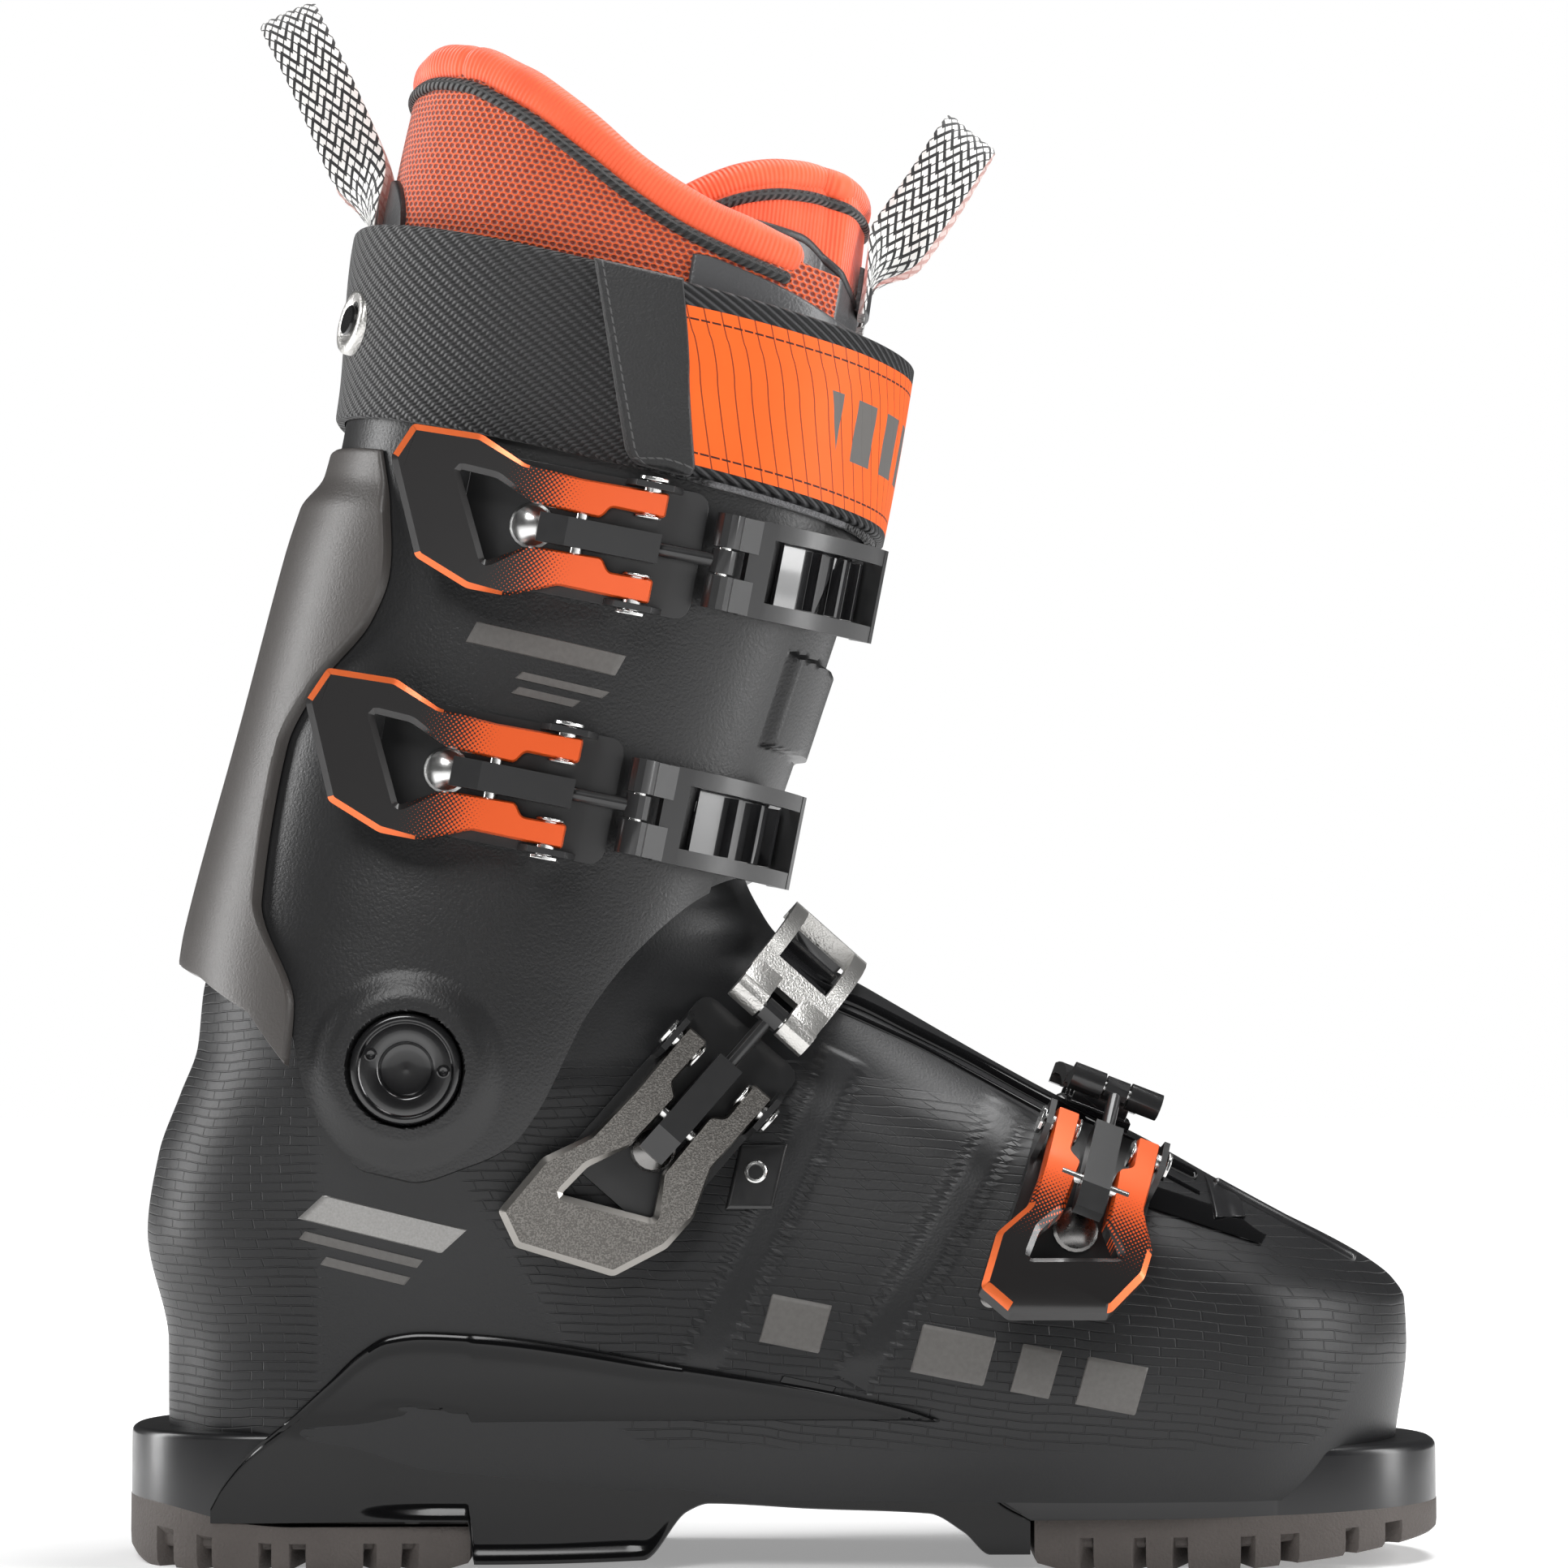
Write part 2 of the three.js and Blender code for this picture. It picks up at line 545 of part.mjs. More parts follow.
// The skin's section through the buckle, walked by arc length from under the lever pivot.
function skinPath(inside, toParent, depth) {
  const point = new THREE.Vector3();
  const reach = (turn) => {
    let [near, far] = [0, 120];
    for (let i = 0; i < 30; i++) {
      const middle = (near + far) / 2;
      point.set(middle * Math.sin(turn), 0, middle * Math.cos(turn) - depth).applyMatrix4(toParent);
      if (inside(point)) near = middle;
      else far = middle;
    }
    return near;
  };
  const points = [];
  for (let turn = rad(-78); turn <= rad(190); turn += rad(4)) {
    const r = reach(turn);
    points.push(new THREE.Vector2(r * Math.sin(turn), r * Math.cos(turn) - depth));
  }
  const lengths = [0];
  for (let i = 1; i < points.length; i++) lengths.push(lengths[i - 1] + points[i].distanceTo(points[i - 1]));
  const zero = points.findIndex((p) => p.x >= 0);
  const before = points[zero - 1];
  const start = lengths[zero - 1] + points[zero].distanceTo(before) * (-before.x / (points[zero].x - before.x));
  return (s, lift) => {
    const at = s + start;
    const i = clamp(lengths.findIndex((l) => l > at), 1, points.length - 1);
    const u = (at - lengths[i - 1]) / (lengths[i] - lengths[i - 1]);
    const p = points[i - 1].clone().lerp(points[i], u);
    const [a, b] = [points[Math.max(i - 3, 0)], points[Math.min(i + 2, points.length - 1)]];
    const along = b.clone().sub(a).normalize();
    return [p.x - along.y * lift, p.y + along.x * lift];
  };
}

// A band that follows the skin between two lifts above it.
function band(path, from, to, low, high, y0, y1, step = 6) {
  const count = Math.max(1, Math.round((to - from) / step));
  const stations = Array.from({ length: count + 1 }, (_, i) => from + ((to - from) * i) / count);
  const over = stations.map((s) => path(s, high));
  const under = stations.map((s) => path(s, low)).reverse();
  return solid(sideways([...under, ...over], y0, y1));
}

function roundedPlate(x0, x1, halfWidth, corner) {
  const corners = [[x1, halfWidth, 0], [x0, halfWidth, 1], [x0, -halfWidth, 2], [x1, -halfWidth, 3]];
  return corners.flatMap(([x, y, quarter]) =>
    [0, 30, 60, 90].map((degrees) => {
      const turn = rad(degrees + 90 * quarter);
      const cx = x - Math.sign(x - (x0 + x1) / 2) * corner;
      return [cx + corner * Math.cos(turn), y - Math.sign(y) * corner + corner * Math.sin(turn)];
    }),
  );
}

// spec: prefix, size (the lever's length scale), hook, teeth from and to, and its materials.
function buckle(spec, path, skinSolid) {
  const named = (part) => `${spec.prefix}_${part}`;
  const fixed = new THREE.Group();
  const rear = 1.2 - 43 * spec.size;

  const plate = band(path, rear, 14, -4, 3, -14.5, 14.5).intersect(
    solid(upright(roundedPlate(rear + 1, 13.6, 14.6, 3.5), -40, 20)),
  );
  const ear = (y0, y1) => solid(sideways([[-6, 1], [7, 1], [7, 7], [4.5, 12.2], [-4, 12.2], [-6, 8]], y0, y1));
  const base = plate
    .add(ear(13.1, 14.5))
    .add(ear(-14.5, -13.1))
    .subtract(skinSolid)
    .subtract(solid(bar(RIVET + FIT, 0, PIVOT_HIGH, -20, 20)));
  fixed.add(mesh(named("base"), base, BUCKLE_BLACK));

  const [domeX, domeZ] = path(-24.4 * spec.size, 3 + GAP);
  const dome = new THREE.LatheGeometry(
    [[0, 0], [5.3, 0], [4.6, 0.9], [2.6, 1.9], [0, 2.3]].map(([r, z]) => new THREE.Vector2(r, z)),
    20,
  );
  const rivetHead = mesh(named("base_rivet"), dome.rotateX(Math.PI / 2), STEEL);
  rivetHead.position.set(domeX, 0, domeZ);
  rivetHead.rotation.y = Math.atan2(domeX - path(-24.4 * spec.size, 0)[0], domeZ - path(-24.4 * spec.size, 0)[1]);
  fixed.add(rivetHead);

  for (const [letter, side] of [["a", 1], ["b", -1]]) {
    const rivet = new THREE.LatheGeometry(
      [[0, 6.3], [3.3, 6.3], [3.3, 6.9], [RIVET, 6.9], [RIVET, 14.8], [3.4, 14.8], [3.4, 15.7], [0, 15.7]].map(
        ([r, y]) => new THREE.Vector2(r, y),
      ),
      12,
    );
    const placed = mesh(named(`lever_rivet_${letter}`), rivet, STEEL);
    placed.position.z = PIVOT_HIGH;
    placed.rotation.x = side > 0 ? 0 : Math.PI;
    fixed.add(placed);
  }

  // Ladder: a toothed strip on the other flap.
  let ladder = band(path, spec.teeth[0] - 3, spec.teeth[1] + 4, -3, 1.8, -8, 8);
  for (let at = spec.hook - 3.4; at > spec.teeth[0]; at -= TOOTH_PITCH) ladder = ladder.add(tooth(path, at));
  for (let at = spec.hook - 3.4 + TOOTH_PITCH; at < spec.teeth[1]; at += TOOTH_PITCH) ladder = ladder.add(tooth(path, at));
  fixed.add(mesh(named("ladder"), ladder.subtract(skinSolid), spec.ladderMaterial));

  // Lever: its outline cut from a plate that bows towards the boot behind the pivot.
  const lever = new THREE.Group();
  lever.name = named("lever_pivot");
  lever.position.z = PIVOT_HIGH;
  const bow = (x) => -((Math.min(x, 0) / 60) ** 2) * spec.bow;
  const stations = [8, 0, -12, -24, -36, -48, -64];
  const thick = (x) => 2.6 - 0.7 * smoothstep(-x, 10, 60);
  const plateSide = [
    ...stations.map((x) => [x, bow(x) + thick(x)]),
    ...stations.map((x) => [x, bow(x) - thick(x)]).reverse(),
  ];
  const outline = LEVER_OUTLINE.map(([x, y]) => [x < -16 ? -16 + (x + 16) * spec.reach : x, y]);
  const leverSolid = solid(upright(outline, -30, 30))
    .intersect(solid(sideways(plateSide, -30, 30)))
    .subtract(solid(bar(RIVET + FIT, 0, 0, -20, 20)))
    .subtract(solid(bar(PIN + FIT, -LINK, 0, -20, 20)));
  lever.add(mesh(named("lever"), leverSolid, spec.leverMaterial));
  const pin = mesh(named("barrel_pin"), bar(PIN, -LINK, 0, -11.4, 11.4), STEEL);
  lever.add(pin);
  fixed.add(lever);

  // Barrel, threaded shaft and bail, each in the last one's group.
  const rod = new THREE.Group();
  rod.name = named("rod_pivot");
  rod.position.x = -LINK;
  const barrelSide = [[-9.4, -1.6], [-7, -2.9], [18.3, -2.9], [18.3, 2.9], [-3, 2.9], [-9.4, 1]];
  const barrel = solid(sideways(barrelSide, -3.3, 3.3))
    .subtract(solid(bar(PIN + FIT, 0, 0, -10, 10)))
    .subtract(solid(new THREE.CylinderGeometry(1.9, 1.9, 16, 12).rotateZ(Math.PI / 2).translate(12, 0, 0)));
  rod.add(mesh(named("barrel"), barrel, BUCKLE_BLACK));
  lever.add(rod);

  const adjust = new THREE.Group();
  adjust.name = named("adjuster");
  const shaft = solid(new THREE.CylinderGeometry(1.6, 1.6, 25, 12).rotateZ(Math.PI / 2).translate(18.5, 0, 0))
    .add(solid(bar(2.9, ROD, 0, -2.7, 2.7)))
    .subtract(solid(bar(PIN + FIT, ROD, 0, -8, 8)));
  adjust.add(mesh(named("shaft"), shaft, BUCKLE_BLACK));
  rod.add(adjust);

  const bail = new THREE.Group();
  bail.name = named("bail_pivot");
  bail.position.x = ROD;
  const pinX = ROD - LINK;
  const inBail = (made) => solid(geometryOf(made).translate(-pinX, 0, -PIVOT_HIGH));
  const low = 5.8;
  const high = 8.6;
  const start = pinX + 3.6;
  const frame = band(path, start, spec.hook + 1, low, high, BAIL_HALF - 3.8, BAIL_HALF)
    .add(band(path, start, spec.hook + 1, low, high, -BAIL_HALF, 3.8 - BAIL_HALF))
    .add(band(path, start, start + 5, low, high, -BAIL_HALF, BAIL_HALF))
    .add(band(path, spec.hook - 1, spec.hook + 1, 3.7, high, -BAIL_HALF, BAIL_HALF));
  const knuckles = solid(bar(3.2, pinX, PIVOT_HIGH, 3.2, 10.8))
    .add(solid(bar(3.2, pinX, PIVOT_HIGH, -10.8, -3.2)))
    .add(solid(sideways([[pinX, 6.6], path(start + 2, low + 0.2), path(start + 2, high - 0.1), [pinX, 11.6]], 3.2, 10.8)))
    .add(solid(sideways([[pinX, 6.6], path(start + 2, low + 0.2), path(start + 2, high - 0.1), [pinX, 11.6]], -10.8, -3.2)));
  const bailSolid = frame.add(knuckles).subtract(solid(bar(PIN + FIT, pinX, PIVOT_HIGH, -10.2, 10.2)));
  const eyeRoom = solid(bar(3.5, pinX, PIVOT_HIGH, -3.1, 3.1));
  bail.add(mesh(named("bail"), inBail(bailSolid.subtract(eyeRoom)), spec.bailMaterial));
  bail.add(mesh(named("bail_pin"), bar(PIN, 0, 0, -9.9, 9.9), STEEL));
  adjust.add(bail);
  return fixed;
}

function tooth(path, at) {
  return solid(sideways([path(at - 1.1, 1), path(at + 0.9, 1), path(at + 0.6, 4.3), path(at - 0.6, 4.3)], -6.8, 6.8));
}

// Where a buckle sits: on the outer side's skin at (x, z), its pull rising by `rise` in side view.
function buckleSeat(halfWidth, middle, x, z, rise) {
  const skin = (u, v) => new THREE.Vector3(u, middle(u) - halfWidth(u, v), v);
  const at = skin(x, z);
  const alongX = skin(x + 1, z).sub(skin(x - 1, z));
  const alongZ = skin(x, z + 1).sub(skin(x, z - 1));
  const out = new THREE.Vector3().crossVectors(alongX, alongZ).normalize();
  const pull = alongX.clone().multiplyScalar(Math.cos(rise)).addScaledVector(alongZ, Math.sin(rise)).normalize();
  const across = new THREE.Vector3().crossVectors(out, pull).normalize();
  pull.crossVectors(across, out);
  return new THREE.Matrix4().makeBasis(pull, across, out).setPosition(at);
}

function placeBuckle(parent, spec, halfWidth, middle, skinGeometry) {
  const seat = buckleSeat(halfWidth, middle, spec.x, spec.z, spec.rise);
  const inside = (p) => Math.abs(p.y - middle(p.x)) < halfWidth(p.x, p.z);
  const path = skinPath(inside, seat, spec.depth);
  const local = skinGeometry.clone().applyMatrix4(seat.clone().invert());
  const made = buckle(spec, path, solid(local));
  seat.decompose(made.position, made.quaternion, made.scale);
  parent.add(made);
}

const CUFF_BUCKLES = [
  { prefix: "top", x: 24.4, z: 127, rise: rad(2.5) },
  { prefix: "ankle", x: 18.2, z: 68.5, rise: rad(2) },
].map((place) => ({
  ...place,
  depth: 36,
  size: 1,
  reach: 1,
  bow: 6,
  hook: HOOK_AT,
  teeth: [36, 78],
  leverMaterial: LEVER_BLACK,
  bailMaterial: BUCKLE_BLACK,
  ladderMaterial: BUCKLE_BLACK,
}));
const SHELL_BUCKLES = [
  {
    prefix: "instep", x: -16, z: 112, rise: rad(49), depth: 34, size: 0.9, reach: 1, bow: 8, hook: 50.5,
    teeth: [28, 66], leverMaterial: LEVER_METAL, bailMaterial: BAIL_SILVER, ladderMaterial: BUCKLE_BLACK,
  },
  {
    prefix: "toe", x: 70, z: 91, rise: rad(72), depth: 30, size: 0.75, reach: 0.74, bow: 25, hook: 50,
    teeth: [30, 66], leverMaterial: LEVER_BLACK, bailMaterial: BUCKLE_BLACK, ladderMaterial: BUCKLE_BLACK,
  },
];

// ---- Assembly ----------------------------------------------------------------------------

const boot = new THREE.Group();
boot.position.y = CENTRE_Y;
boot.add(mesh("lower_shell", lowerShell(), SHELL_BLACK));
boot.add(mesh("arch_chassis", archChassis(), GLOSS_BLACK));
boot.add(
  mesh(
    "toe_sole",
    rubberSole(lugOutline(HALF_SOLE - 0.3, TOE_SOLE_START - 5, LUG_HALF_WIDTH - 0.3, 42), TOE_SOLE_SIDE, [
      [70, 0.3], [84, -0.2], [98, 0.35], [113, -0.25], [127, 0.3],
    ]),
    SOLE_RUBBER,
  ),
);
boot.add(
  mesh(
    "heel_sole",
    rubberSole(lugOutline(-HALF_SOLE + 0.3, HEEL_SOLE_END + 5, LUG_HALF_WIDTH - 0.3, 36), HEEL_SOLE_SIDE, [
      [-132, 0.5], [-112, -0.3], [-96, 0.3], [-83, -0.2],
    ]),
    SOLE_RUBBER,
  ),
);
boot.add(mesh("boot_board", bootBoard(), FOAM));
boot.add(mesh("liner_foot", linerFoot(), LINER_ORANGE));
const innerBolt = mesh("inner_pivot_bolt", pivotBolt(), STEEL);
innerBolt.position.set(PIVOT_X, 0, PIVOT_Z);
boot.add(innerBolt);
const shellSkinGrown = shellSkin(SHELL_LEVELS, -0.6, 48);
for (const spec of SHELL_BUCKLES) placeBuckle(boot, spec, shellHalfWidth, shellMiddle, shellSkinGrown);

const leg = new THREE.Group();
leg.name = "cuff_pivot";
leg.position.set(PIVOT_X, 0, PIVOT_Z);
leg.rotation.y = LEAN;
leg.add(mesh("cuff", cuff(), SHELL_BLACK));
leg.add(mesh("rear_spine", rearSpine(), SPINE_GREY));
leg.add(mesh("power_strap", powerStrap(), STRAP_BLACK));
leg.add(mesh("liner_shaft", linerShaft(), LINER_ORANGE));
leg.add(mesh("liner_tongue", linerTongue(), LINER_ORANGE));
const disc = mesh("outer_pivot_disc", pivotDisc(), GLOSS_BLACK);
disc.rotation.x = Math.PI;
leg.add(disc);
const cuffSkinGrown = ovalSkin([-8, 14, 40, 70, 100, 128, 152], -0.6, 88);
for (const spec of CUFF_BUCKLES) placeBuckle(leg, spec, cuffHalfWidth, () => 0, cuffSkinGrown);
leg.add(mesh("rear_loop", webbingLoop(bothSides(REAR_LOOP_SIDE), REAR_ACROSS, WEB_WIDTH, WEB_THICK), WEBBING));
leg.add(mesh("tongue_loop", webbingLoop(bothSides(FRONT_LOOP_SIDE), FRONT_ACROSS, WEB_WIDTH, WEB_THICK), WEBBING));
boot.add(leg);


export default boot;
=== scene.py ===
# An alpine ski boot for the right foot: a hard lower shell and cuff round a soft liner, closed by
# four lever buckles and a strap. +X points to the toe, +Y to the inner side of the foot, +Z up.
import json
import math

import bmesh
import bpy
import numpy as np
from mathutils import Matrix, Vector


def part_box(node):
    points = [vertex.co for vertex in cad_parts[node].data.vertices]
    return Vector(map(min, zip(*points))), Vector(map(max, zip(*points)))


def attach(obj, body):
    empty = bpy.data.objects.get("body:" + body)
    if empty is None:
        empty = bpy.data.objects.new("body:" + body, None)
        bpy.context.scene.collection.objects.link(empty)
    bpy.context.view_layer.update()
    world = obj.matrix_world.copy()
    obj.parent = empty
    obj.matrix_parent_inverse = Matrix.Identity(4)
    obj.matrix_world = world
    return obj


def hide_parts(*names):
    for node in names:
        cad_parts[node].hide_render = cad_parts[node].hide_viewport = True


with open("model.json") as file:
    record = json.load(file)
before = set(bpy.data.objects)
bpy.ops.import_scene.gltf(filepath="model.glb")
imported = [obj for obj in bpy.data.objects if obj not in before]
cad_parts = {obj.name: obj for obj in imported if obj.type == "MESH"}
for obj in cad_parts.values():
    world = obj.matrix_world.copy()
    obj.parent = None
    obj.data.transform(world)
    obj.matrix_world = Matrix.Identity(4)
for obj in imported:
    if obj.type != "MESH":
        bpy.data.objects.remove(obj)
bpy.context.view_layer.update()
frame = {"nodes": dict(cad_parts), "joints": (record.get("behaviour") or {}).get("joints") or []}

# ---- Camera, floor and lights ------------------------------------------------------------
# The boot is seen square on from its outer side, from a little below the middle of its height.

MIDDLE_Y = float((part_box("heel_sole")[0].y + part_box("heel_sole")[1].y) / 2)
CAMERA_HEIGHT, AIM_HEIGHT, VIEW_DISTANCE = 0.12, 0.1814, 1.05
LENS_MM = 101.6
WORLD_SEEN, WORLD_LIT = 1.0, 0.06  # strengths for the camera and for everything else

camera_data = bpy.data.cameras.new("camera")
camera_data.lens = LENS_MM
camera = bpy.data.objects.new("camera", camera_data)
camera.location = (0.0, MIDDLE_Y - VIEW_DISTANCE, CAMERA_HEIGHT)
camera.rotation_euler = (math.pi / 2 + math.atan2(AIM_HEIGHT - CAMERA_HEIGHT, VIEW_DISTANCE), 0, 0)
bpy.context.scene.collection.objects.link(camera)
bpy.context.scene.camera = camera
bpy.context.scene.view_settings.view_transform = "Standard"

world = bpy.data.worlds.new("studio")
world.use_nodes = True
sky = world.node_tree
seen, lit = sky.nodes["Background"], sky.nodes.new("ShaderNodeBackground")
seen.inputs["Color"].default_value = lit.inputs["Color"].default_value = (1, 1, 1, 1)
seen.inputs["Strength"].default_value = WORLD_SEEN
lit.inputs["Strength"].default_value = WORLD_LIT
to_camera, both = sky.nodes.new("ShaderNodeLightPath"), sky.nodes.new("ShaderNodeMixShader")
sky.links.new(to_camera.outputs["Is Camera Ray"], both.inputs[0])
sky.links.new(lit.outputs[0], both.inputs[1])
sky.links.new(seen.outputs[0], both.inputs[2])
sky.links.new(both.outputs[0], sky.nodes["World Output"].inputs["Surface"])
bpy.context.scene.world = world

bpy.ops.mesh.primitive_plane_add(size=12, location=(0, 0, 0))
studio_floor = bpy.context.object
studio_floor.name = "studio_floor"
floor_paint = bpy.data.materials.new("studio_floor")
floor_paint.use_nodes = True
paint = floor_paint.node_tree.nodes["Principled BSDF"]
paint.inputs["Base Color"].default_value = (0.9, 0.9, 0.9, 1)
paint.inputs["Roughness"].default_value = 0.6
paint.inputs["Emission Strength"].default_value = 1.0
nodes, links = floor_paint.node_tree.nodes, floor_paint.node_tree.links
place, away = nodes.new("ShaderNodeTexCoord"), nodes.new("ShaderNodeVectorMath")
away.operation = "LENGTH"
fade = nodes.new("ShaderNodeMapRange")
for socket, value in (("From Min", 0.15), ("From Max", 0.75), ("To Min", 0.30), ("To Max", 1.0)):
    fade.inputs[socket].default_value = value
links.new(place.outputs["Object"], away.inputs[0])
links.new(away.outputs["Value"], fade.inputs["Value"])
links.new(fade.outputs[0], paint.inputs["Emission Color"])
studio_floor.data.materials.append(floor_paint)


def add_softbox(name, place, size, power):
    """A rectangular area lamp at place, facing the middle of the boot."""
    lamp = bpy.data.lights.new(name, "AREA")
    lamp.shape = "RECTANGLE"
    lamp.size, lamp.size_y = size
    lamp.energy = power
    lamp_object = bpy.data.objects.new(name, lamp)
    lamp_object.location = place
    towards = Vector((0, MIDDLE_Y, 0.16)) - Vector(place)
    lamp_object.rotation_euler = towards.to_track_quat("-Z", "Y").to_euler()
    bpy.context.scene.collection.objects.link(lamp_object)


add_softbox("key_light", (-0.35, -1.0, 0.95), (0.45, 0.5), 8)
add_softbox("top_light", (0.3, 0.1, 1.2), (0.9, 0.4), 11)
add_softbox("heel_light", (-1.1, 0.15, 0.4), (0.3, 0.9), 9)
add_softbox("toe_light", (1.15, -0.25, 0.45), (0.3, 0.9), 9)


# ---- Lower shell -------------------------------------------------------------------------
# The hard polyurethane shell that holds the foot, injection moulded with a relief of short
# dashes. Its half width is worked out at each X and Z between a rear and a front line.


class Value:
    """A socket in a material, with Python's arithmetic adding the Math nodes."""

    def __init__(self, nodes, socket):
        self.nodes, self.socket = nodes, socket

    def _maths(self, operation, first, second=None):
        """A Math node over one or two values."""
        values = [first] if second is None else [first, second]
        return self.nodes.add("ShaderNodeMath", dict(enumerate(values)), operation=operation)

    def one(self, operation):
        """A Math node of one input."""
        return self._maths(operation, self)

    def step(self, low, high):
        """0 below low and 1 above high, with a smooth slope between."""
        sockets = {"Value": self, "From Min": low, "From Max": high}
        return self.nodes.add("ShaderNodeMapRange", sockets, interpolation_type="SMOOTHSTEP")


def value_operator(operation, swapped=False):
    """A method for one of Python's operators, with its operands swapped for the reflected kind."""
    if swapped:
        return lambda self, other: self._maths(operation, other, self)
    return lambda self, other: self._maths(operation, self, other)


for symbol, operation in (("add", "ADD"), ("sub", "SUBTRACT"), ("mul", "MULTIPLY")):
    setattr(Value, f"__{symbol}__", value_operator(operation))
    setattr(Value, f"__r{symbol}__", value_operator(operation, swapped=True))
for symbol, operation in (("truediv", "DIVIDE"), ("gt", "GREATER_THAN"), ("lt", "LESS_THAN"), ("pow", "POWER")):
    setattr(Value, f"__{symbol}__", value_operator(operation))


class Finish:
    """A material with one Principled shader; add() makes any other node from its settings and inputs."""

    def __init__(self, name, color=(0.8, 0.8, 0.8), roughness=0.5, metallic=0.0, **settings):
        self.material = bpy.data.materials.new(name)
        self.material.use_nodes = True
        self.tree = self.material.node_tree
        self.shader = self.tree.nodes["Principled BSDF"]
        self.set("Base Color", (*color, 1))
        self.set("Roughness", roughness)
        self.set("Metallic", metallic)
        for socket, value in settings.items():
            self.set(socket.replace("_", " ").title().replace("Ior", "IOR"), value)

    def _fill(self, socket, value):
        """Links a value to a socket, or sets the socket to a constant."""
        if isinstance(value, Value):
            self.tree.links.new(value.socket, socket)
        elif isinstance(value, tuple) and len(value) == 3 and socket.type == "RGBA":
            socket.default_value = (*value, 1)
        else:
            socket.default_value = value

    def set(self, name, value):
        """Sets or links an input of the Principled shader."""
        self._fill(self.shader.inputs[name], value)

    def add(self, kind, sockets=None, output=0, **settings):
        """A new node of any kind, as the value of one of its outputs."""
        node = self.tree.nodes.new(kind)
        for setting, value in settings.items():
            setattr(node, setting, value)
        for key, value in (sockets or {}).items():
            self._fill(node.inputs[key], value)
        return Value(self, node.outputs[output])

    def place(self, scale=(1, 1, 1), turn=(0, 0, 0), uv=False):
        """Object or UV coordinates, scaled and turned."""
        source = self.add("ShaderNodeTexCoord", output="UV" if uv else "Object")
        return self.add("ShaderNodeMapping", {"Vector": source, "Scale": scale, "Rotation": turn})

    def noise(self, size, detail=2.0, where=None):
        """Noise whose features are about size metres across."""
        sockets = {"Vector": where or self.place(), "Scale": 1 / size, "Detail": detail}
        return self.add("ShaderNodeTexNoise", sockets, output="Fac")

    def blend(self, factor, first, second):
        """A colour between two others."""
        sockets = {"Factor": factor, 6: first, 7: second}
        return self.add("ShaderNodeMix", sockets, output=2, data_type="RGBA")

    def axes(self, vector):
        """The X, Y and Z of a vector, as three values."""
        node = self.tree.nodes.new("ShaderNodeSeparateXYZ")
        self._fill(node.inputs[0], vector)
        return [Value(self, socket) for socket in node.outputs]

    def attribute(self, name):
        """A number stored on the points of the mesh."""
        return self.add("ShaderNodeAttribute", output="Fac", attribute_name=name)

    def bump(self, height, distance, strength=1.0):
        """Bends the normal by a height."""
        sockets = {"Height": height, "Distance": distance, "Strength": strength}
        self.set("Normal", self.add("ShaderNodeBump", sockets))


def smooth_line(points):
    """A smooth curve through (t, value) points with no overshoot: cubic pieces whose slopes are
    the harmonic mean of the slopes on either side."""
    t, value = np.array(points, float).T
    rise = np.diff(value) / np.diff(t)
    before, after = rise[:-1], rise[1:]
    same_way = before * after > 0
    total = np.where(same_way, before + after, 1)
    inner = np.where(same_way, 2 * before * after / total, 0)
    slope = np.concatenate([rise[:1], inner, rise[-1:]])

    def at(query):
        """The value at each t, held at the ends."""
        query = np.clip(np.asarray(query, float), t[0], t[-1])
        i = np.clip(np.searchsorted(t, query, side="right") - 1, 0, len(t) - 2)
        width = t[i + 1] - t[i]
        u = (query - t[i]) / width
        start = (2 * u**3 - 3 * u**2 + 1) * value[i] + (u**3 - 2 * u**2 + u) * width * slope[i]
        end = (3 * u**2 - 2 * u**3) * value[i + 1] + (u**3 - u**2) * width * slope[i + 1]
        return start + end

    return at


def ease(t, low, high):
    """0 below low, 1 above high, and a smooth slope between."""
    u = np.clip((np.asarray(t, float) - low) / (high - low), 0, 1)
    return u * u * (3 - 2 * u)


def walked(path):
    """The distance from the first point of a path to each of its points."""
    return np.concatenate([[0], np.cumsum(np.linalg.norm(np.diff(path, axis=0), axis=1))])


def grid_piece(name, points, finish, body, slot, around=False, loop=False, close=False, uv=None, **marks):
    """A surface over a grid of points in mm. around joins the last column to the first and loop
    the last row to the first; close fills each open end with a face. marks are numbers per point."""
    rows, columns = points.shape[:2]
    index = np.arange(rows * columns).reshape(rows, columns)
    if around:
        index = np.hstack([index, index[:, :1]])
    if loop:
        index = np.vstack([index, index[:1]])
    quads = np.stack([index[:-1, :-1], index[:-1, 1:], index[1:, 1:], index[1:, :-1]], -1).reshape(-1, 4)
    faces = quads.tolist()
    if close and around:
        faces += [index[0, :-1][::-1].tolist(), index[-1, :-1].tolist()]
    if close and loop:
        faces += [index[:-1, 0].tolist(), index[:-1, -1][::-1].tolist()]
    mesh = bpy.data.meshes.new(name)
    mesh.from_pydata((points.reshape(-1, 3) / 1000).tolist(), [], faces)
    for mark, values in marks.items():
        layer = mesh.attributes.new(mark, "FLOAT", "POINT")
        layer.data.foreach_set("value", np.broadcast_to(values, (rows, columns)).astype(np.float32).ravel())
    if uv is not None:
        corners = np.zeros(len(mesh.loops), np.int64)
        mesh.loops.foreach_get("vertex_index", corners)
        flat = np.stack([np.broadcast_to(c, (rows, columns)).ravel() for c in uv], -1)[corners]
        mesh.uv_layers.new(name="UVMap").data.foreach_set("uv", flat.astype(np.float32).ravel())
    return finish_piece(name, mesh, finish, body, slot)


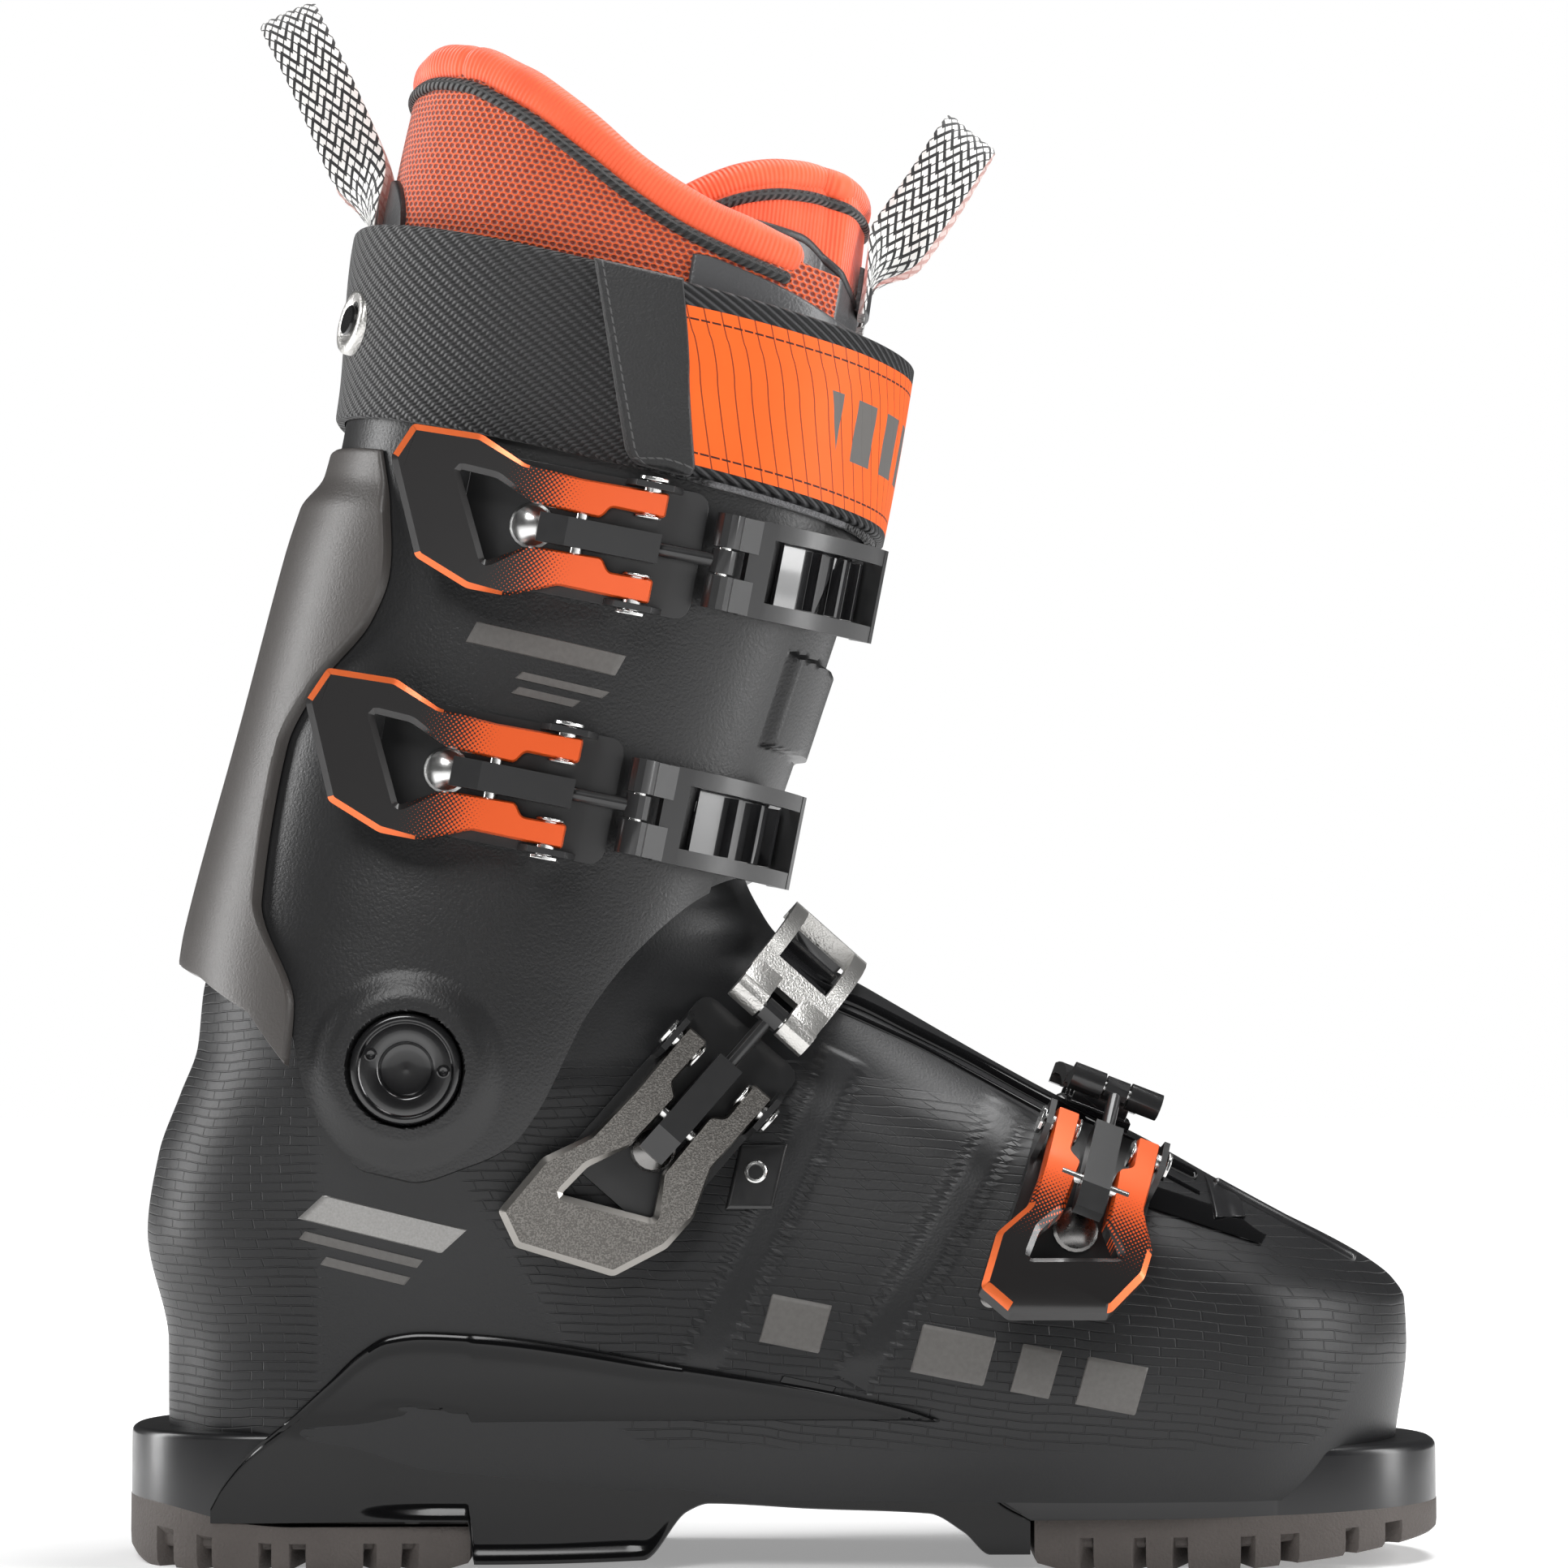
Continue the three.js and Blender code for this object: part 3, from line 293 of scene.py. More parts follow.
def finish_piece(name, mesh, finish, body, slot):
    """Welds a mesh, turns its faces outwards, shades it smooth and hangs it on a body."""
    work = bmesh.new()
    work.from_mesh(mesh)
    bmesh.ops.remove_doubles(work, verts=work.verts, dist=1e-7)
    bmesh.ops.dissolve_degenerate(work, edges=work.edges, dist=1e-7)
    bmesh.ops.recalc_face_normals(work, faces=work.faces)
    work.to_mesh(mesh)
    work.free()
    mesh.shade_smooth()
    mesh.set_sharp_from_angle(angle=math.radians(38))
    mesh.materials.append(finish.material)
    piece = bpy.data.objects.new(name, mesh)
    bpy.context.scene.collection.objects.link(piece)
    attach(piece, body)
    return piece


shell_rear = smooth_line(
    [(12, -143), (33, -144.6), (50, -144.8), (76, -150), (94, -147.5), (108, -142.5),
     (119, -138.5), (132, -137.2), (138, -135.5), (144, -130), (152, -125)]
)
shell_front = smooth_line(
    [(12, 142), (30, 144.5), (50, 147), (60, 146.6), (64.5, 144), (69, 138.5), (86, 106),
     (98, 84.5), (108.5, 63), (132.5, 20.5), (145.5, -1.5), (152, -6), (158, -9), (165, -11)]
)
sole_width = smooth_line(
    [(-150, 33.5), (-115, 36.5), (-80, 38), (-40, 40), (0, 44), (40, 50), (75, 54), (105, 52),
     (130, 45.5), (150, 39)]
)
nose_length = smooth_line(
    [(12, 45), (50, 44), (62, 48), (70, 56), (90, 66), (120, 74), (145, 52), (155, 48)]
)


def rounded_nose(t, power):
    """0 at a tip and 1 a nose length behind it, along a rounded curve."""
    return (1 - (1 - np.clip(t, 0, 1)) ** power) ** (1 / power)


def shell_middle(x):
    """The Y of the shell's centre line at x."""
    return MIDDLE_Y * 1000 + 5 * ease(x, -20, 130)


def shell_half_width(x, z, inset=0.0):
    """The shell's half width: the sole's width, tucked in towards the ground, drawn in over the
    instep and swelling at the ankle, and rounded off at the heel and at the toe."""
    front = np.minimum(shell_front(z) - inset, shell_front(z + 1.15 * inset))
    rear = shell_rear(z) + inset
    tuck = 1 - 0.24 * np.clip((45 - z) / 33, 0, 1) ** 2
    instep = 1 - 0.24 * ease(z, 45, 120) * ease(x, -60, 10)
    ankle = 1 + 0.27 * np.exp(-(((x + 82) / 36) ** 2) - ((z - 124) / 44) ** 2)
    width = sole_width(x) * tuck * instep * ankle - inset
    return width * rounded_nose((x - rear) / 38, 2.1) * rounded_nose((front - x) / nose_length(z), 2.2)


def shell_surface(turn, z, inset=0.0):
    """Points round the shell at height z: turn 0 is the heel, 1/4 the inner side, 1/2 the toe."""
    front = np.minimum(shell_front(z) - inset, shell_front(z + 1.15 * inset))
    rear = shell_rear(z) + inset
    x = (rear + front) / 2 - (front - rear) / 2 * np.cos(2 * np.pi * turn)
    side = np.sign(np.round(np.sin(2 * np.pi * turn), 9))
    return np.stack([x, shell_middle(x) + side * shell_half_width(x, z, inset), z + 0 * x], -1)


def normals_of(points, around=True):
    """Unit normals of a grid of points, from the slopes along its rows and columns."""
    padded = np.concatenate([points[:, -1:], points, points[:, :1]], 1) if around else points
    along = np.gradient(padded, axis=1)
    along = along[:, 1:-1] if around else along
    up = np.gradient(points, axis=0)
    normal = np.cross(along, up)
    return normal / np.maximum(np.linalg.norm(normal, axis=-1, keepdims=True), 1e-9)


def shell_plastic():
    """Satin black polyurethane: rows of short raised dashes, smooth where the mark `smooth` is 1."""
    made = Finish("shell_plastic", (0.009, 0.0092, 0.010), 0.42, specular_ior_level=0.4)
    smooth = made.attribute("smooth")
    where = made.place(uv=True)
    warp = made.noise(0.035, where=where)
    bent = made.add("ShaderNodeVectorMath", {0: where, 1: made.add("ShaderNodeCombineXYZ", {"Y": warp * 0.004})})
    bricks = made.add(
        "ShaderNodeTexBrick",
        {"Vector": bent, "Color1": (1, 1, 1), "Color2": (0.75, 0.75, 0.75), "Mortar": (0, 0, 0),
         "Scale": 1.0, "Mortar Size": 0.00021, "Mortar Smooth": 0.6, "Brick Width": 0.0085, "Row Height": 0.00215},
        output="Color", offset=0.37, squash=1.0,
    )
    relief = made.add("ShaderNodeSeparateColor", {"Color": bricks}, output="Red")
    fine = made.noise(0.0006, 1.0)
    height = relief * (1 - smooth) + 0.06 * fine
    made.bump(height, 0.0005)
    made.set("Roughness", 0.40 + 0.08 * fine - 0.05 * smooth)
    return made


ROWS, COLUMNS = 150, 560
turn = (np.arange(COLUMNS) / COLUMNS)[None, :]
level = np.linspace(0, 1, ROWS)[:, None]
rim = np.interp(-150 * np.cos(2 * np.pi * turn), [-60, -25, 20, 75, 125, 150], [149.5, 145.5, 142.5, 147, 160, 163])
outer_z = 16 + (rim - 16) * level
outer = shell_surface(turn + 0 * outer_z, outer_z)
x, z = outer[..., 0], outer[..., 2]


def stripe(a, b, width):
    """1 within width mm of the line from a to b in side view, fading over half a millimetre."""
    (ax, az), (bx, bz) = a, b
    length = math.hypot(bx - ax, bz - az)
    along = ((x - ax) * (bx - ax) + (z - az) * (bz - az)) / length
    off = ((x - ax) * (bz - az) - (z - az) * (bx - ax)) / length
    inside = ease(width / 2 - np.abs(off), -0.4, 0.4)
    return inside * ease(along, -0.4, 0.4) * (1 - ease(along, length - 0.4, length + 0.4))


band_mark = np.maximum(stripe((53, 106), (15, 43), 8.5), stripe((14, 117), (-22, 40), 9.5))
flank = ease(x, -112, -104) * (1 - ease(x + 0.62 * (z - 50), -50, -42)) * ease(z, 20, 30)
top_smooth = ease(z - np.interp(x, [-150, -60, 0, 60, 150], [134, 110, 112, 97, 66]), -2, 6)
toe_foot = ease(x - (126 + 0.6 * (z - 40)), -3, 5) * (1 - ease(z, 44, 52))
low_smooth = 1 - ease(z, 27, 33)
smooth_mark = np.clip(band_mark + flank + top_smooth + toe_foot + low_smooth, 0, 1)
outward = normals_of(outer)
outer = outer - outward * (0.45 * band_mark * ease(z, 44, 50))[..., None]

around_mm = np.cumsum(np.linalg.norm(np.diff(outer[60], axis=0, prepend=outer[60][:1]), axis=-1))
shell_uv = ((around_mm / 1000)[None, :] + 0 * z, (z + 0.10 * np.abs(x + 20) * (x > -20)) / 1000)

inner_rows = []
for inset, drop in ((0.5, -0.5), (1.3, 0.0), (3.2, 0.0), (4.3, -0.6), (4.5, -20), (4.5, -60)):
    inner_rows.append(shell_surface(turn, rim + 0.5 + drop, inset)[0])
inner = np.stack(inner_rows)
bottom_pole = outer[0] * 1.0
bottom_pole[:, 1] = shell_middle(bottom_pole[:, 0])
shell_points = np.concatenate([bottom_pole[None], outer, inner])
extra = len(inner)
pad = lambda a: np.concatenate([a[:1], a, np.repeat(a[-1:], extra, 0)])
black_plastic = shell_plastic()
shell_piece = grid_piece(
    "lower_shell_body", shell_points, black_plastic, "shell", "shell_black", around=True,
    uv=(pad(shell_uv[0]), pad(shell_uv[1])), smooth=pad(smooth_mark),
)
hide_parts("lower_shell")


# ---- Toe and heel lugs -------------------------------------------------------------------
# The standard ledges that a binding grips, part of the shell's own moulding. Their ends are
# half ovals, and their top edges are rounded.

HEEL_LUG_TOP, TOE_LUG_TOP, RUBBER_TOP = 31, 28, 11.2


def lug_plan(tip, inner, half_width, round_length, count=121):
    """Half an oval from side to side round the tip, closed by the straight inner end."""
    toward = np.sign(tip - inner)
    angle = np.linspace(-np.pi / 2, np.pi / 2, count)
    x = tip - toward * round_length + toward * round_length * np.cos(angle) ** 0.9
    y = half_width * np.sign(np.sin(angle)) * np.abs(np.sin(angle)) ** 0.9
    back = np.linspace(1, -1, 31)[1:-1]
    return np.concatenate([np.stack([x, y], -1), np.stack([inner + 0 * back, half_width * back], -1)])


def stacked_block(plan, levels):
    """A plan outline repeated at each (z, shrink) level, drawn in to a point at both ends."""
    centre = plan.mean(0)
    rows = []
    for z, shrink in [(levels[0][0], None), *levels, (levels[-1][0], None)]:
        away = plan - centre
        reach = np.linalg.norm(away, axis=1, keepdims=True)
        kept = away * 1e-4 if shrink is None else away * (1 - shrink / reach)
        ring = centre + kept
        rows.append(np.column_stack([ring[:, 0], ring[:, 1] + MIDDLE_Y * 1000, np.full(len(ring), float(z))]))
    return np.stack(rows)


def rounded_levels(low, high, radius, steps=5):
    """Levels of a wall whose top and bottom edges are rounded off."""
    turn = np.linspace(0, np.pi / 2, steps)
    bottom = [(low + radius * (1 - math.sin(t)), radius * (1 - math.cos(t))) for t in turn[::-1]]
    top = [(high - radius * (1 - math.sin(t)), radius * (1 - math.cos(t))) for t in turn]
    return [(z, s) for z, s in sorted(set(bottom))] + [(z, s) for z, s in top]


lug_plastic = Finish("lug_plastic", (0.010, 0.010, 0.011), 0.3, coat_weight=0.2, coat_roughness=0.2)
lug_plastic.set("Roughness", 0.26 + 0.12 * lug_plastic.noise(0.004))
heel_levels = [(RUBBER_TOP, 0.4), (RUBBER_TOP + 0.4, 0.0)] + rounded_levels(14, HEEL_LUG_TOP, 1.6)[5:]
toe_levels = [(RUBBER_TOP, 0.4), (RUBBER_TOP + 0.4, 0.0)] + rounded_levels(14, TOE_LUG_TOP, 2.2)[5:]
grid_piece(
    "heel_lug", stacked_block(lug_plan(-153, -66, 34.5, 36), heel_levels), lug_plastic,
    "shell", "shell_black", around=True,
)
grid_piece(
    "toe_lug", stacked_block(lug_plan(153, 46, 34.5, 42), toe_levels), lug_plastic,
    "shell", "shell_black", around=True,
)


# ---- Arch chassis ------------------------------------------------------------------------
# The glossy stiffening frame between the two soles, moulded in hard nylon. It wraps up both
# flanks of the shell, and a raised rib follows its top edge.

chassis_low = smooth_line([(-131, 10.6), (-72, 10.6), (-70.5, 1.4), (-32, 2.4), (-22, 13.4), (-17, 15.2),
                           (6, 14), (33, 12.8), (41, 8.5), (47, 3.4), (56.4, 3.4)])
chassis_high = smooth_line([(-131, 13.5), (-128, 19), (-123, 25.5), (-112, 35), (-104, 42.5), (-96, 50), (-90, 53.4),
                            (-82, 54.4), (-70, 53.9), (-20, 46.6), (24, 38.6), (36, 34.6), (43, 27.5), (48, 17),
                            (56.4, 11.6)])

gloss_black = Finish("gloss_nylon", (0.003, 0.003, 0.0033), 0.14, specular_ior_level=0.22, coat_weight=0.18,
                     coat_roughness=0.05)
gloss_black.set("Roughness", 0.10 + 0.08 * gloss_black.noise(0.02))


def lug_half_width(x):
    """The half width of the two lugs at x, which is the frame's own half width between them."""
    past = np.clip((-117 - x) / 36, 0, 1)
    return 34.5 * (1 - past ** (2 / 0.9)) ** 0.45


def chassis_side(side):
    """One flank: columns run along the boot, rows from the ground edge up the skin and back inside."""
    x = np.linspace(-130.8, 56.2, 420)
    low, high = chassis_low(x), chassis_high(x)
    rows = []
    shares = [(0, -3.0), (0, -0.6), (0.012, 0.0), *[(s, None) for s in np.linspace(0.03, 0.93, 46)]]
    for share, proud in shares + [(0.955, 1.7), (0.98, 1.6), (0.995, 1.1), (1.0, 0.2), (1.0, -3.0)]:
        z = low + (high - low) * share
        lift = 0.9 + 0.9 * ease(share, 0.90, 0.945) if proud is None else proud
        skin = shell_half_width(x, np.maximum(z, 30)) + lift
        foot = lug_half_width(x) + 0.45 + min(lift, 0) + 0.5 * ease(share, 0.90, 0.945) * (proud is None)
        y = foot + (skin - foot) * ease(z, 29.5, 36)
        crease_line = low + (0.66 - 0.0030 * (x + 100)) * (high - low)
        crease = np.exp(-(((z - crease_line) / 0.55) ** 2)) * ease(x, -96, -88) * (1 - ease(x, -34, -26))
        shelf = 1.1 * (1 - ease(z, crease_line - 0.5, crease_line + 0.3)) * ease(x, -100, -80)
        shelf = shelf * (1 - ease(x, -36, -24)) * ease(z, low + 1.5, low + 4)
        rows.append(np.stack([x, shell_middle(x) + side * (y - 0.5 * crease - shelf), z], -1))
    return np.stack(rows)


outer_flank, inner_flank = chassis_side(-1), chassis_side(1)
arch_floor = [outer_flank[0] * (1 - t) + inner_flank[0] * t for t in np.linspace(0, 1, 9)[1:-1]]
flanks = np.concatenate([outer_flank[::-1], np.stack(arch_floor), inner_flank])
chassis = grid_piece("arch_frame", flanks, gloss_black, "shell", "gloss_black", loop=True, close=True)
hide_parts("arch_chassis")


# ---- Soles -------------------------------------------------------------------------------
# Two replaceable rubber blocks under the lugs, cut by tread grooves. They are rockered at the
# toe and the heel, and shallow notches show along their lower edges.

sole_rubber = Finish("sole_rubber", (0.085, 0.072, 0.066), 0.7)
grain = sole_rubber.noise(0.0007, 3.0)
tint = sole_rubber.noise(0.012)
sole_rubber.set("Base Color", sole_rubber.blend(tint, (0.070, 0.060, 0.055), (0.098, 0.084, 0.077)))
sole_rubber.set("Roughness", 0.58 + 0.25 * grain)
sole_rubber.bump(grain, 0.00025)


def tread_sole(name, plan, rocker, top_line, grooves, notch):
    """The lug's plan stacked from the ground up; grooves cut its lower edge to `notch` mm deep."""
    centre_y = MIDDLE_Y * 1000
    rows = []
    base = plan[:, 0]
    edge = np.abs(plan[:, 1])
    cut = np.zeros(len(plan))
    for x_at, slant, width in grooves:
        cut = np.maximum(cut, (np.abs(base - x_at - slant * (edge - 30)) < width / 2) * (edge > 12))
    bottom = rocker(base)
    for share, inward in [(None, 0), (0.0, 3.5), (0.0, 0.9), (0.10, 0.15), (0.3, 0), (0.62, 0), (0.94, 0.0),
                          (1.0, 0.3), (None, 1)]:
        centre = plan.mean(0)
        away = plan - centre
        reach = np.linalg.norm(away, axis=1, keepdims=True)
        if share is None:
            ring = centre + away * 1e-4
            z = np.full(len(plan), float(rocker(centre[0])) + 0.2) if inward == 0 else top_line(base)
        else:
            shrink = (inward + 1.5 * cut * (share < 0.35))[:, None]
            ring = centre + away * (1 - shrink / reach)
            lifted = np.where(cut * (share < 0.35) > 0, bottom + notch * (1 - 0.2 * share), bottom)
            z = lifted + (top_line(base) - lifted) * share
        rows.append(np.column_stack([ring[:, 0], ring[:, 1] + centre_y, z]))
    piece = grid_piece(name + "_rubber", np.stack(rows), sole_rubber, "shell", "sole_rubber", around=True)
    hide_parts(name)
    return piece


def dense_plan(tip, inner, half_width, round_length):
    """The lug's plan with points every half millimetre, so that grooves have straight sides."""
    plan = lug_plan(tip, inner, half_width, round_length, 241)
    closed = np.vstack([plan, plan[:1]])
    length = walked(closed)
    even = np.linspace(0, length[-1], 620, endpoint=False)
    return np.column_stack([np.interp(even, length, closed[:, 0]), np.interp(even, length, closed[:, 1])])


toe_rocker = smooth_line([(57, 1.5), (64, 0), (98, 0), (122, 2.4), (146, 6.0), (154, 7.2)])
heel_rocker = smooth_line([(-153, 2.6), (-146, 0), (-78, 0), (-71.3, 1.5)])
toe_rubber_top = smooth_line([(57, 11.6), (110, 12.6), (154, 14.4)])
heel_rubber_top = smooth_line([(-153, 15.8), (-146, 15.2), (-121, 10.4), (-112, 9.8), (-71, 9.8)])
tread_sole(
    "toe_sole", dense_plan(153.1, 57.1, 34.75, 42), toe_rocker, toe_rubber_top,
    [(70, -0.5, 3.6), (79, 0.5, 2.6), (92, -0.5, 3.8), (104, 0.4, 2.8), (117, -0.4, 3.8), (129, 0.4, 3.0),
     (139, -0.3, 3.0)], 5.0,
)
tread_sole(
    "heel_sole", dense_plan(-153.1, -71.4, 34.75, 36), heel_rocker, heel_rubber_top,
    [(-141, 0.3, 2.8), (-131, -0.5, 3.6), (-120, 0.4, 2.6), (-109, -0.4, 3.6), (-96, 0.5, 2.6), (-84, -0.4, 3.6)],
    4.6,
)

# ---- Boot board and liner foot -----------------------------------------------------------
# The board is a firm foam wedge under the liner, and the liner's foot is a padded bootie.
# Both stay deep inside the shell, so they keep their own shapes.

board_foam = Finish("board_foam", (0.02, 0.02, 0.022), 0.85)
board_foam.bump(board_foam.noise(0.0015, 3.0), 0.0004)
lining = Finish("liner_lining", (0.02, 0.02, 0.022), 0.9, sheen_weight=0.3)
lining.bump(lining.noise(0.0009, 2.0), 0.0003)
for node, finish in (("boot_board", board_foam), ("liner_foot", lining)):
    frame["nodes"][node].data.materials.clear()
    frame["nodes"][node].data.materials.append(finish.material)

# ---- Cuff --------------------------------------------------------------------------------
# The upper shell, a leaning oval tube in polyurethane whose two flaps overlap at the shin. It
# turns on the ankle pivots, so its own height axis leans 13 degrees from upright.

PIVOT = (-85.0, 114.0)
LEAN = math.radians(13)
OVAL_POWER = 2.4
cuff_rear = smooth_line(
    [(-34, -50), (0, -55), (20, -57), (70, -55.5), (110, -54.5), (137, -52.5), (186, -58.5), (240, -60)]
)
cuff_front = smooth_line(
    [(-34, 61), (0, 63.5), (20, 65.5), (57, 66.5), (100, 70.5), (140, 73.5), (186, 71), (240, 66)]
)
cuff_width = smooth_line(
    [(-34, 53), (0, 54.5), (30, 52.5), (60, 50.5), (110, 51), (150, 53), (186, 54), (240, 50)]
)


def signed_power(value, exponent):
    """A power that keeps the sign: the sign of value times |value| to the exponent."""
    return np.sign(value) * np.abs(value) ** exponent


def leg_point(height, turn, inset):
    """A point in the leg's own frame: an oval at each height, turn 0 at the shin and -90 degrees
    at the outer side, drawn in by inset."""
    height, turn, inset = np.broadcast_arrays(height, turn, inset)
    middle = (cuff_front(height) + cuff_rear(height)) / 2
    length = (cuff_front(height) - cuff_rear(height)) / 2 - inset
    x = middle + length * signed_power(np.cos(turn), 2 / OVAL_POWER)
    y = (cuff_width(height) - inset) * signed_power(np.sin(turn), 2 / OVAL_POWER)
    return np.stack([x, y, height * 1.0], -1)


def to_boot(points):
    """From the leg's frame to the boot's: lean forward and move up to the pivot."""
    x, y, h = points[..., 0], points[..., 1], points[..., 2]
    cos, sin = math.cos(LEAN), math.sin(LEAN)
    return np.stack([PIVOT[0] + x * cos + h * sin, y + MIDDLE_Y * 1000, PIVOT[1] - x * sin + h * cos], -1)


def to_leg(points):
    """Side view (x, z) points of the boot as (x, height) in the leg's frame."""
    x, z = np.array(points, float).T
    dx, dz = x - PIVOT[0], z - PIVOT[1]
    cos, sin = math.cos(LEAN), math.sin(LEAN)
    return np.column_stack([dx * cos - dz * sin, dx * sin + dz * cos])


def on_leg(height, turn, inset):
    """A point of the leg's oval in the boot's frame."""
    return to_boot(leg_point(height, turn, inset))


cuff_edge = smooth_line(
    to_leg([(-140, 153), (-124, 148), (-112, 124), (-107, 106), (-101, 97.2), (-94, 91), (-84.5, 88.8),
            (-71, 92), (-61, 97), (-55, 105), (-44.6, 126), (-30, 144), (-17.4, 154), (-6, 158.5), (60, 163)])
)
CUFF_TOP, CUFF_WALL = 178, 3.8
FLAP_END, UNDER_FLAP_END = math.radians(-35), math.radians(-72)

cuff_plastic = Finish("cuff_plastic", (0.0125, 0.0125, 0.013), 0.36, specular_ior_level=0.45)
skin_grain = cuff_plastic.noise(0.0007, 1.5)
cuff_plastic.set("Roughness", 0.32 + 0.10 * skin_grain)
cuff_plastic.bump(skin_grain, 0.00008)


def soft_box(a, b, centre, half, corner=3.0, edge=1.2):
    """1 inside a rounded rectangle of the plane (a, b), falling to 0 over edge mm outside it."""
    da = np.maximum(np.abs(a - centre[0]) - (half[0] - corner), 0)
    db = np.maximum(np.abs(b - centre[1]) - (half[1] - corner), 0)
    return 1 - ease(np.hypot(da, db) - corner, -edge / 2, edge / 2)


def cuff_rows(turn, share, outer, inner, rim=1.0):
    """A wall between two insets from the cuff's lower edge to its top, as one closed strip per
    turn: share runs up the outer face, then over the rim and down the inner face."""
    low_x = leg_point(60.0, turn, 0.0)[..., 0]
    low = cuff_edge(low_x)
    for _ in range(6):
        low = cuff_edge(leg_point(low, turn, 0.0)[..., 0])
    span = CUFF_TOP - low
    rows = [(low + rim * 0.25, outer + 0.3 * rim)]
    rows += [(low + rim * 0.3 + (span - rim * 0.6) * s, outer) for s in share]
    rows += [(CUFF_TOP - rim * 0.1, outer + 0.3 * rim), (CUFF_TOP + 0 * low, outer + rim)]
    rows += [(CUFF_TOP + 0 * low, inner - rim), (CUFF_TOP - rim * 0.3, inner - 0.2)]
    rows += [(low + rim * 0.4 + (span - rim * 0.8) * s, inner) for s in share[::-12]]
    rows += [(low + 0.0, inner - 0.3 * rim), (low - 0.2, (inner + outer) / 2)]
    return rows


turn = np.concatenate([
    np.linspace(UNDER_FLAP_END, math.radians(240), 300, endpoint=False),
    np.linspace(math.radians(240), math.radians(288), 170, endpoint=False),
    np.linspace(math.radians(288), FLAP_END + 2 * np.pi, 90),
])
share = np.concatenate([np.linspace(0, 0.24, 110, endpoint=False), np.linspace(0.24, 1, 110)])
thin = 1.75
flush = (CUFF_WALL - thin) * (1 - ease(turn, FLAP_END, math.radians(25)))
lapped = CUFF_WALL + ease(turn, math.radians(270), math.radians(284)) * (thin - CUFF_WALL)
strips = []
for height, inset in cuff_rows(turn, share, flush, lapped):
    near_outside = inset < (flush + lapped) / 2 - 0.5
    flat = leg_point(height, turn, 0.0)
    side_view_x = flat[..., 0]
    pads = 2.6 * soft_box(side_view_x, height, (68, 102), (16, 11)) + 2.6 * soft_box(
        side_view_x, height, (64, 38), (14, 6))
    pads = pads * ease(turn, math.radians(-33), math.radians(-27)) * (turn < math.radians(10))
    from_pivot = np.hypot(side_view_x, height)
    outer_face = np.abs((turn % (2 * np.pi)) - 1.5 * np.pi) < 1.2
    boss = 1.7 * (1 - ease(from_pivot, 15.5, 23)) * outer_face
    pocket = (1 - ease(from_pivot, 12.75, 13.15)) * outer_face
    proud = np.where(near_outside, pads + boss, 0)
    floor_inset = np.where(near_outside, 4.75, 5.2)
    strips.append(on_leg(height, turn, (inset - proud) * (1 - pocket) + floor_inset * pocket))
cuff_piece = grid_piece(
    "cuff_shell", np.stack(strips), cuff_plastic, "cuff", "cuff_black", loop=True, close=True)
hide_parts("cuff")


# ---- Rear spine --------------------------------------------------------------------------
# A stiffening cap of grey-brown polymer, screwed to the calf side of the cuff. A ridge runs down
# its middle, and its front edges step in where the buckles' bases sit.

spine_front = smooth_line([(-5.5, -25.9), (8.4, -28.1), (29.9, -41.8), (65.6, -44.9), (79.8, -41),
                           (97.4, -31.7), (107, -30), (124.6, -33.9), (137, -38.8)])


def turn_of(x, height, inset=0.0):
    """The turn, from 0 to half a turn, at which the leg's oval has this x."""
    middle = (cuff_front(height) + cuff_rear(height)) / 2
    length = (cuff_front(height) - cuff_rear(height)) / 2 - inset
    return np.arccos(signed_power(np.clip((x - middle) / length, -1, 1), OVAL_POWER / 2))


def edge_spaced(count):
    """Shares from 0 to 1 that crowd together at both ends, for crisp bevels."""
    near = np.array([0, 0.002, 0.006, 0.012, 0.02])
    return np.concatenate([near, np.linspace(0.03, 0.97, count), 1 - near[::-1]])


def lengths_along(points, axis):
    """The distance walked along rows or columns of a grid, from 0."""
    step = np.linalg.norm(np.diff(points, axis=axis), axis=-1)
    pad_shape = [(1, 0), (0, 0)] if axis == 0 else [(0, 0), (1, 0)]
    return np.cumsum(np.pad(step, pad_shape), axis=axis)


def plate(name, surface, a, b, low, high, finish, body, slot, bevel=0.6, **marks):
    """A closed plate over a grid of surface coordinates a and b, from lift low to lift high, its
    edges rounded over bevel mm. Its UV map is its own width and height in metres."""
    a, b, high = np.broadcast_arrays(a, b, np.asarray(high, float))
    outer = surface(a, b, high)
    across, up = lengths_along(outer, 1), lengths_along(outer, 0)
    margin = np.minimum(np.minimum(across, across[:, -1:] - across), np.minimum(up, up[-1:] - up))
    round_off = np.sqrt(1 - (1 - np.clip(margin / bevel, 0, 1)) ** 2)
    face = surface(a, b, low + (high - low) * round_off)
    back = surface(a, b, low + 0 * high)[::-1]
    both = lambda values: np.concatenate([values, values[::-1]])
    marks = {mark: both(np.broadcast_to(values, a.shape)) for mark, values in marks.items()}
    return grid_piece(
        name, np.concatenate([face, back]), finish, body, slot, loop=True, close=True,
        uv=(both(across) / 1000, both(up) / 1000), **marks,
    )


def leg_surface(turn, height, lift):
    """A point lift mm outside the leg's oval."""
    return on_leg(height, turn, -lift)


spine_polymer = Finish("spine_polymer", (0.058, 0.053, 0.050), 0.42)
spine_grain = spine_polymer.noise(0.0006, 1.0)
spine_polymer.set("Roughness", 0.36 + 0.1 * spine_grain)
spine_polymer.bump(spine_grain, 0.00006)

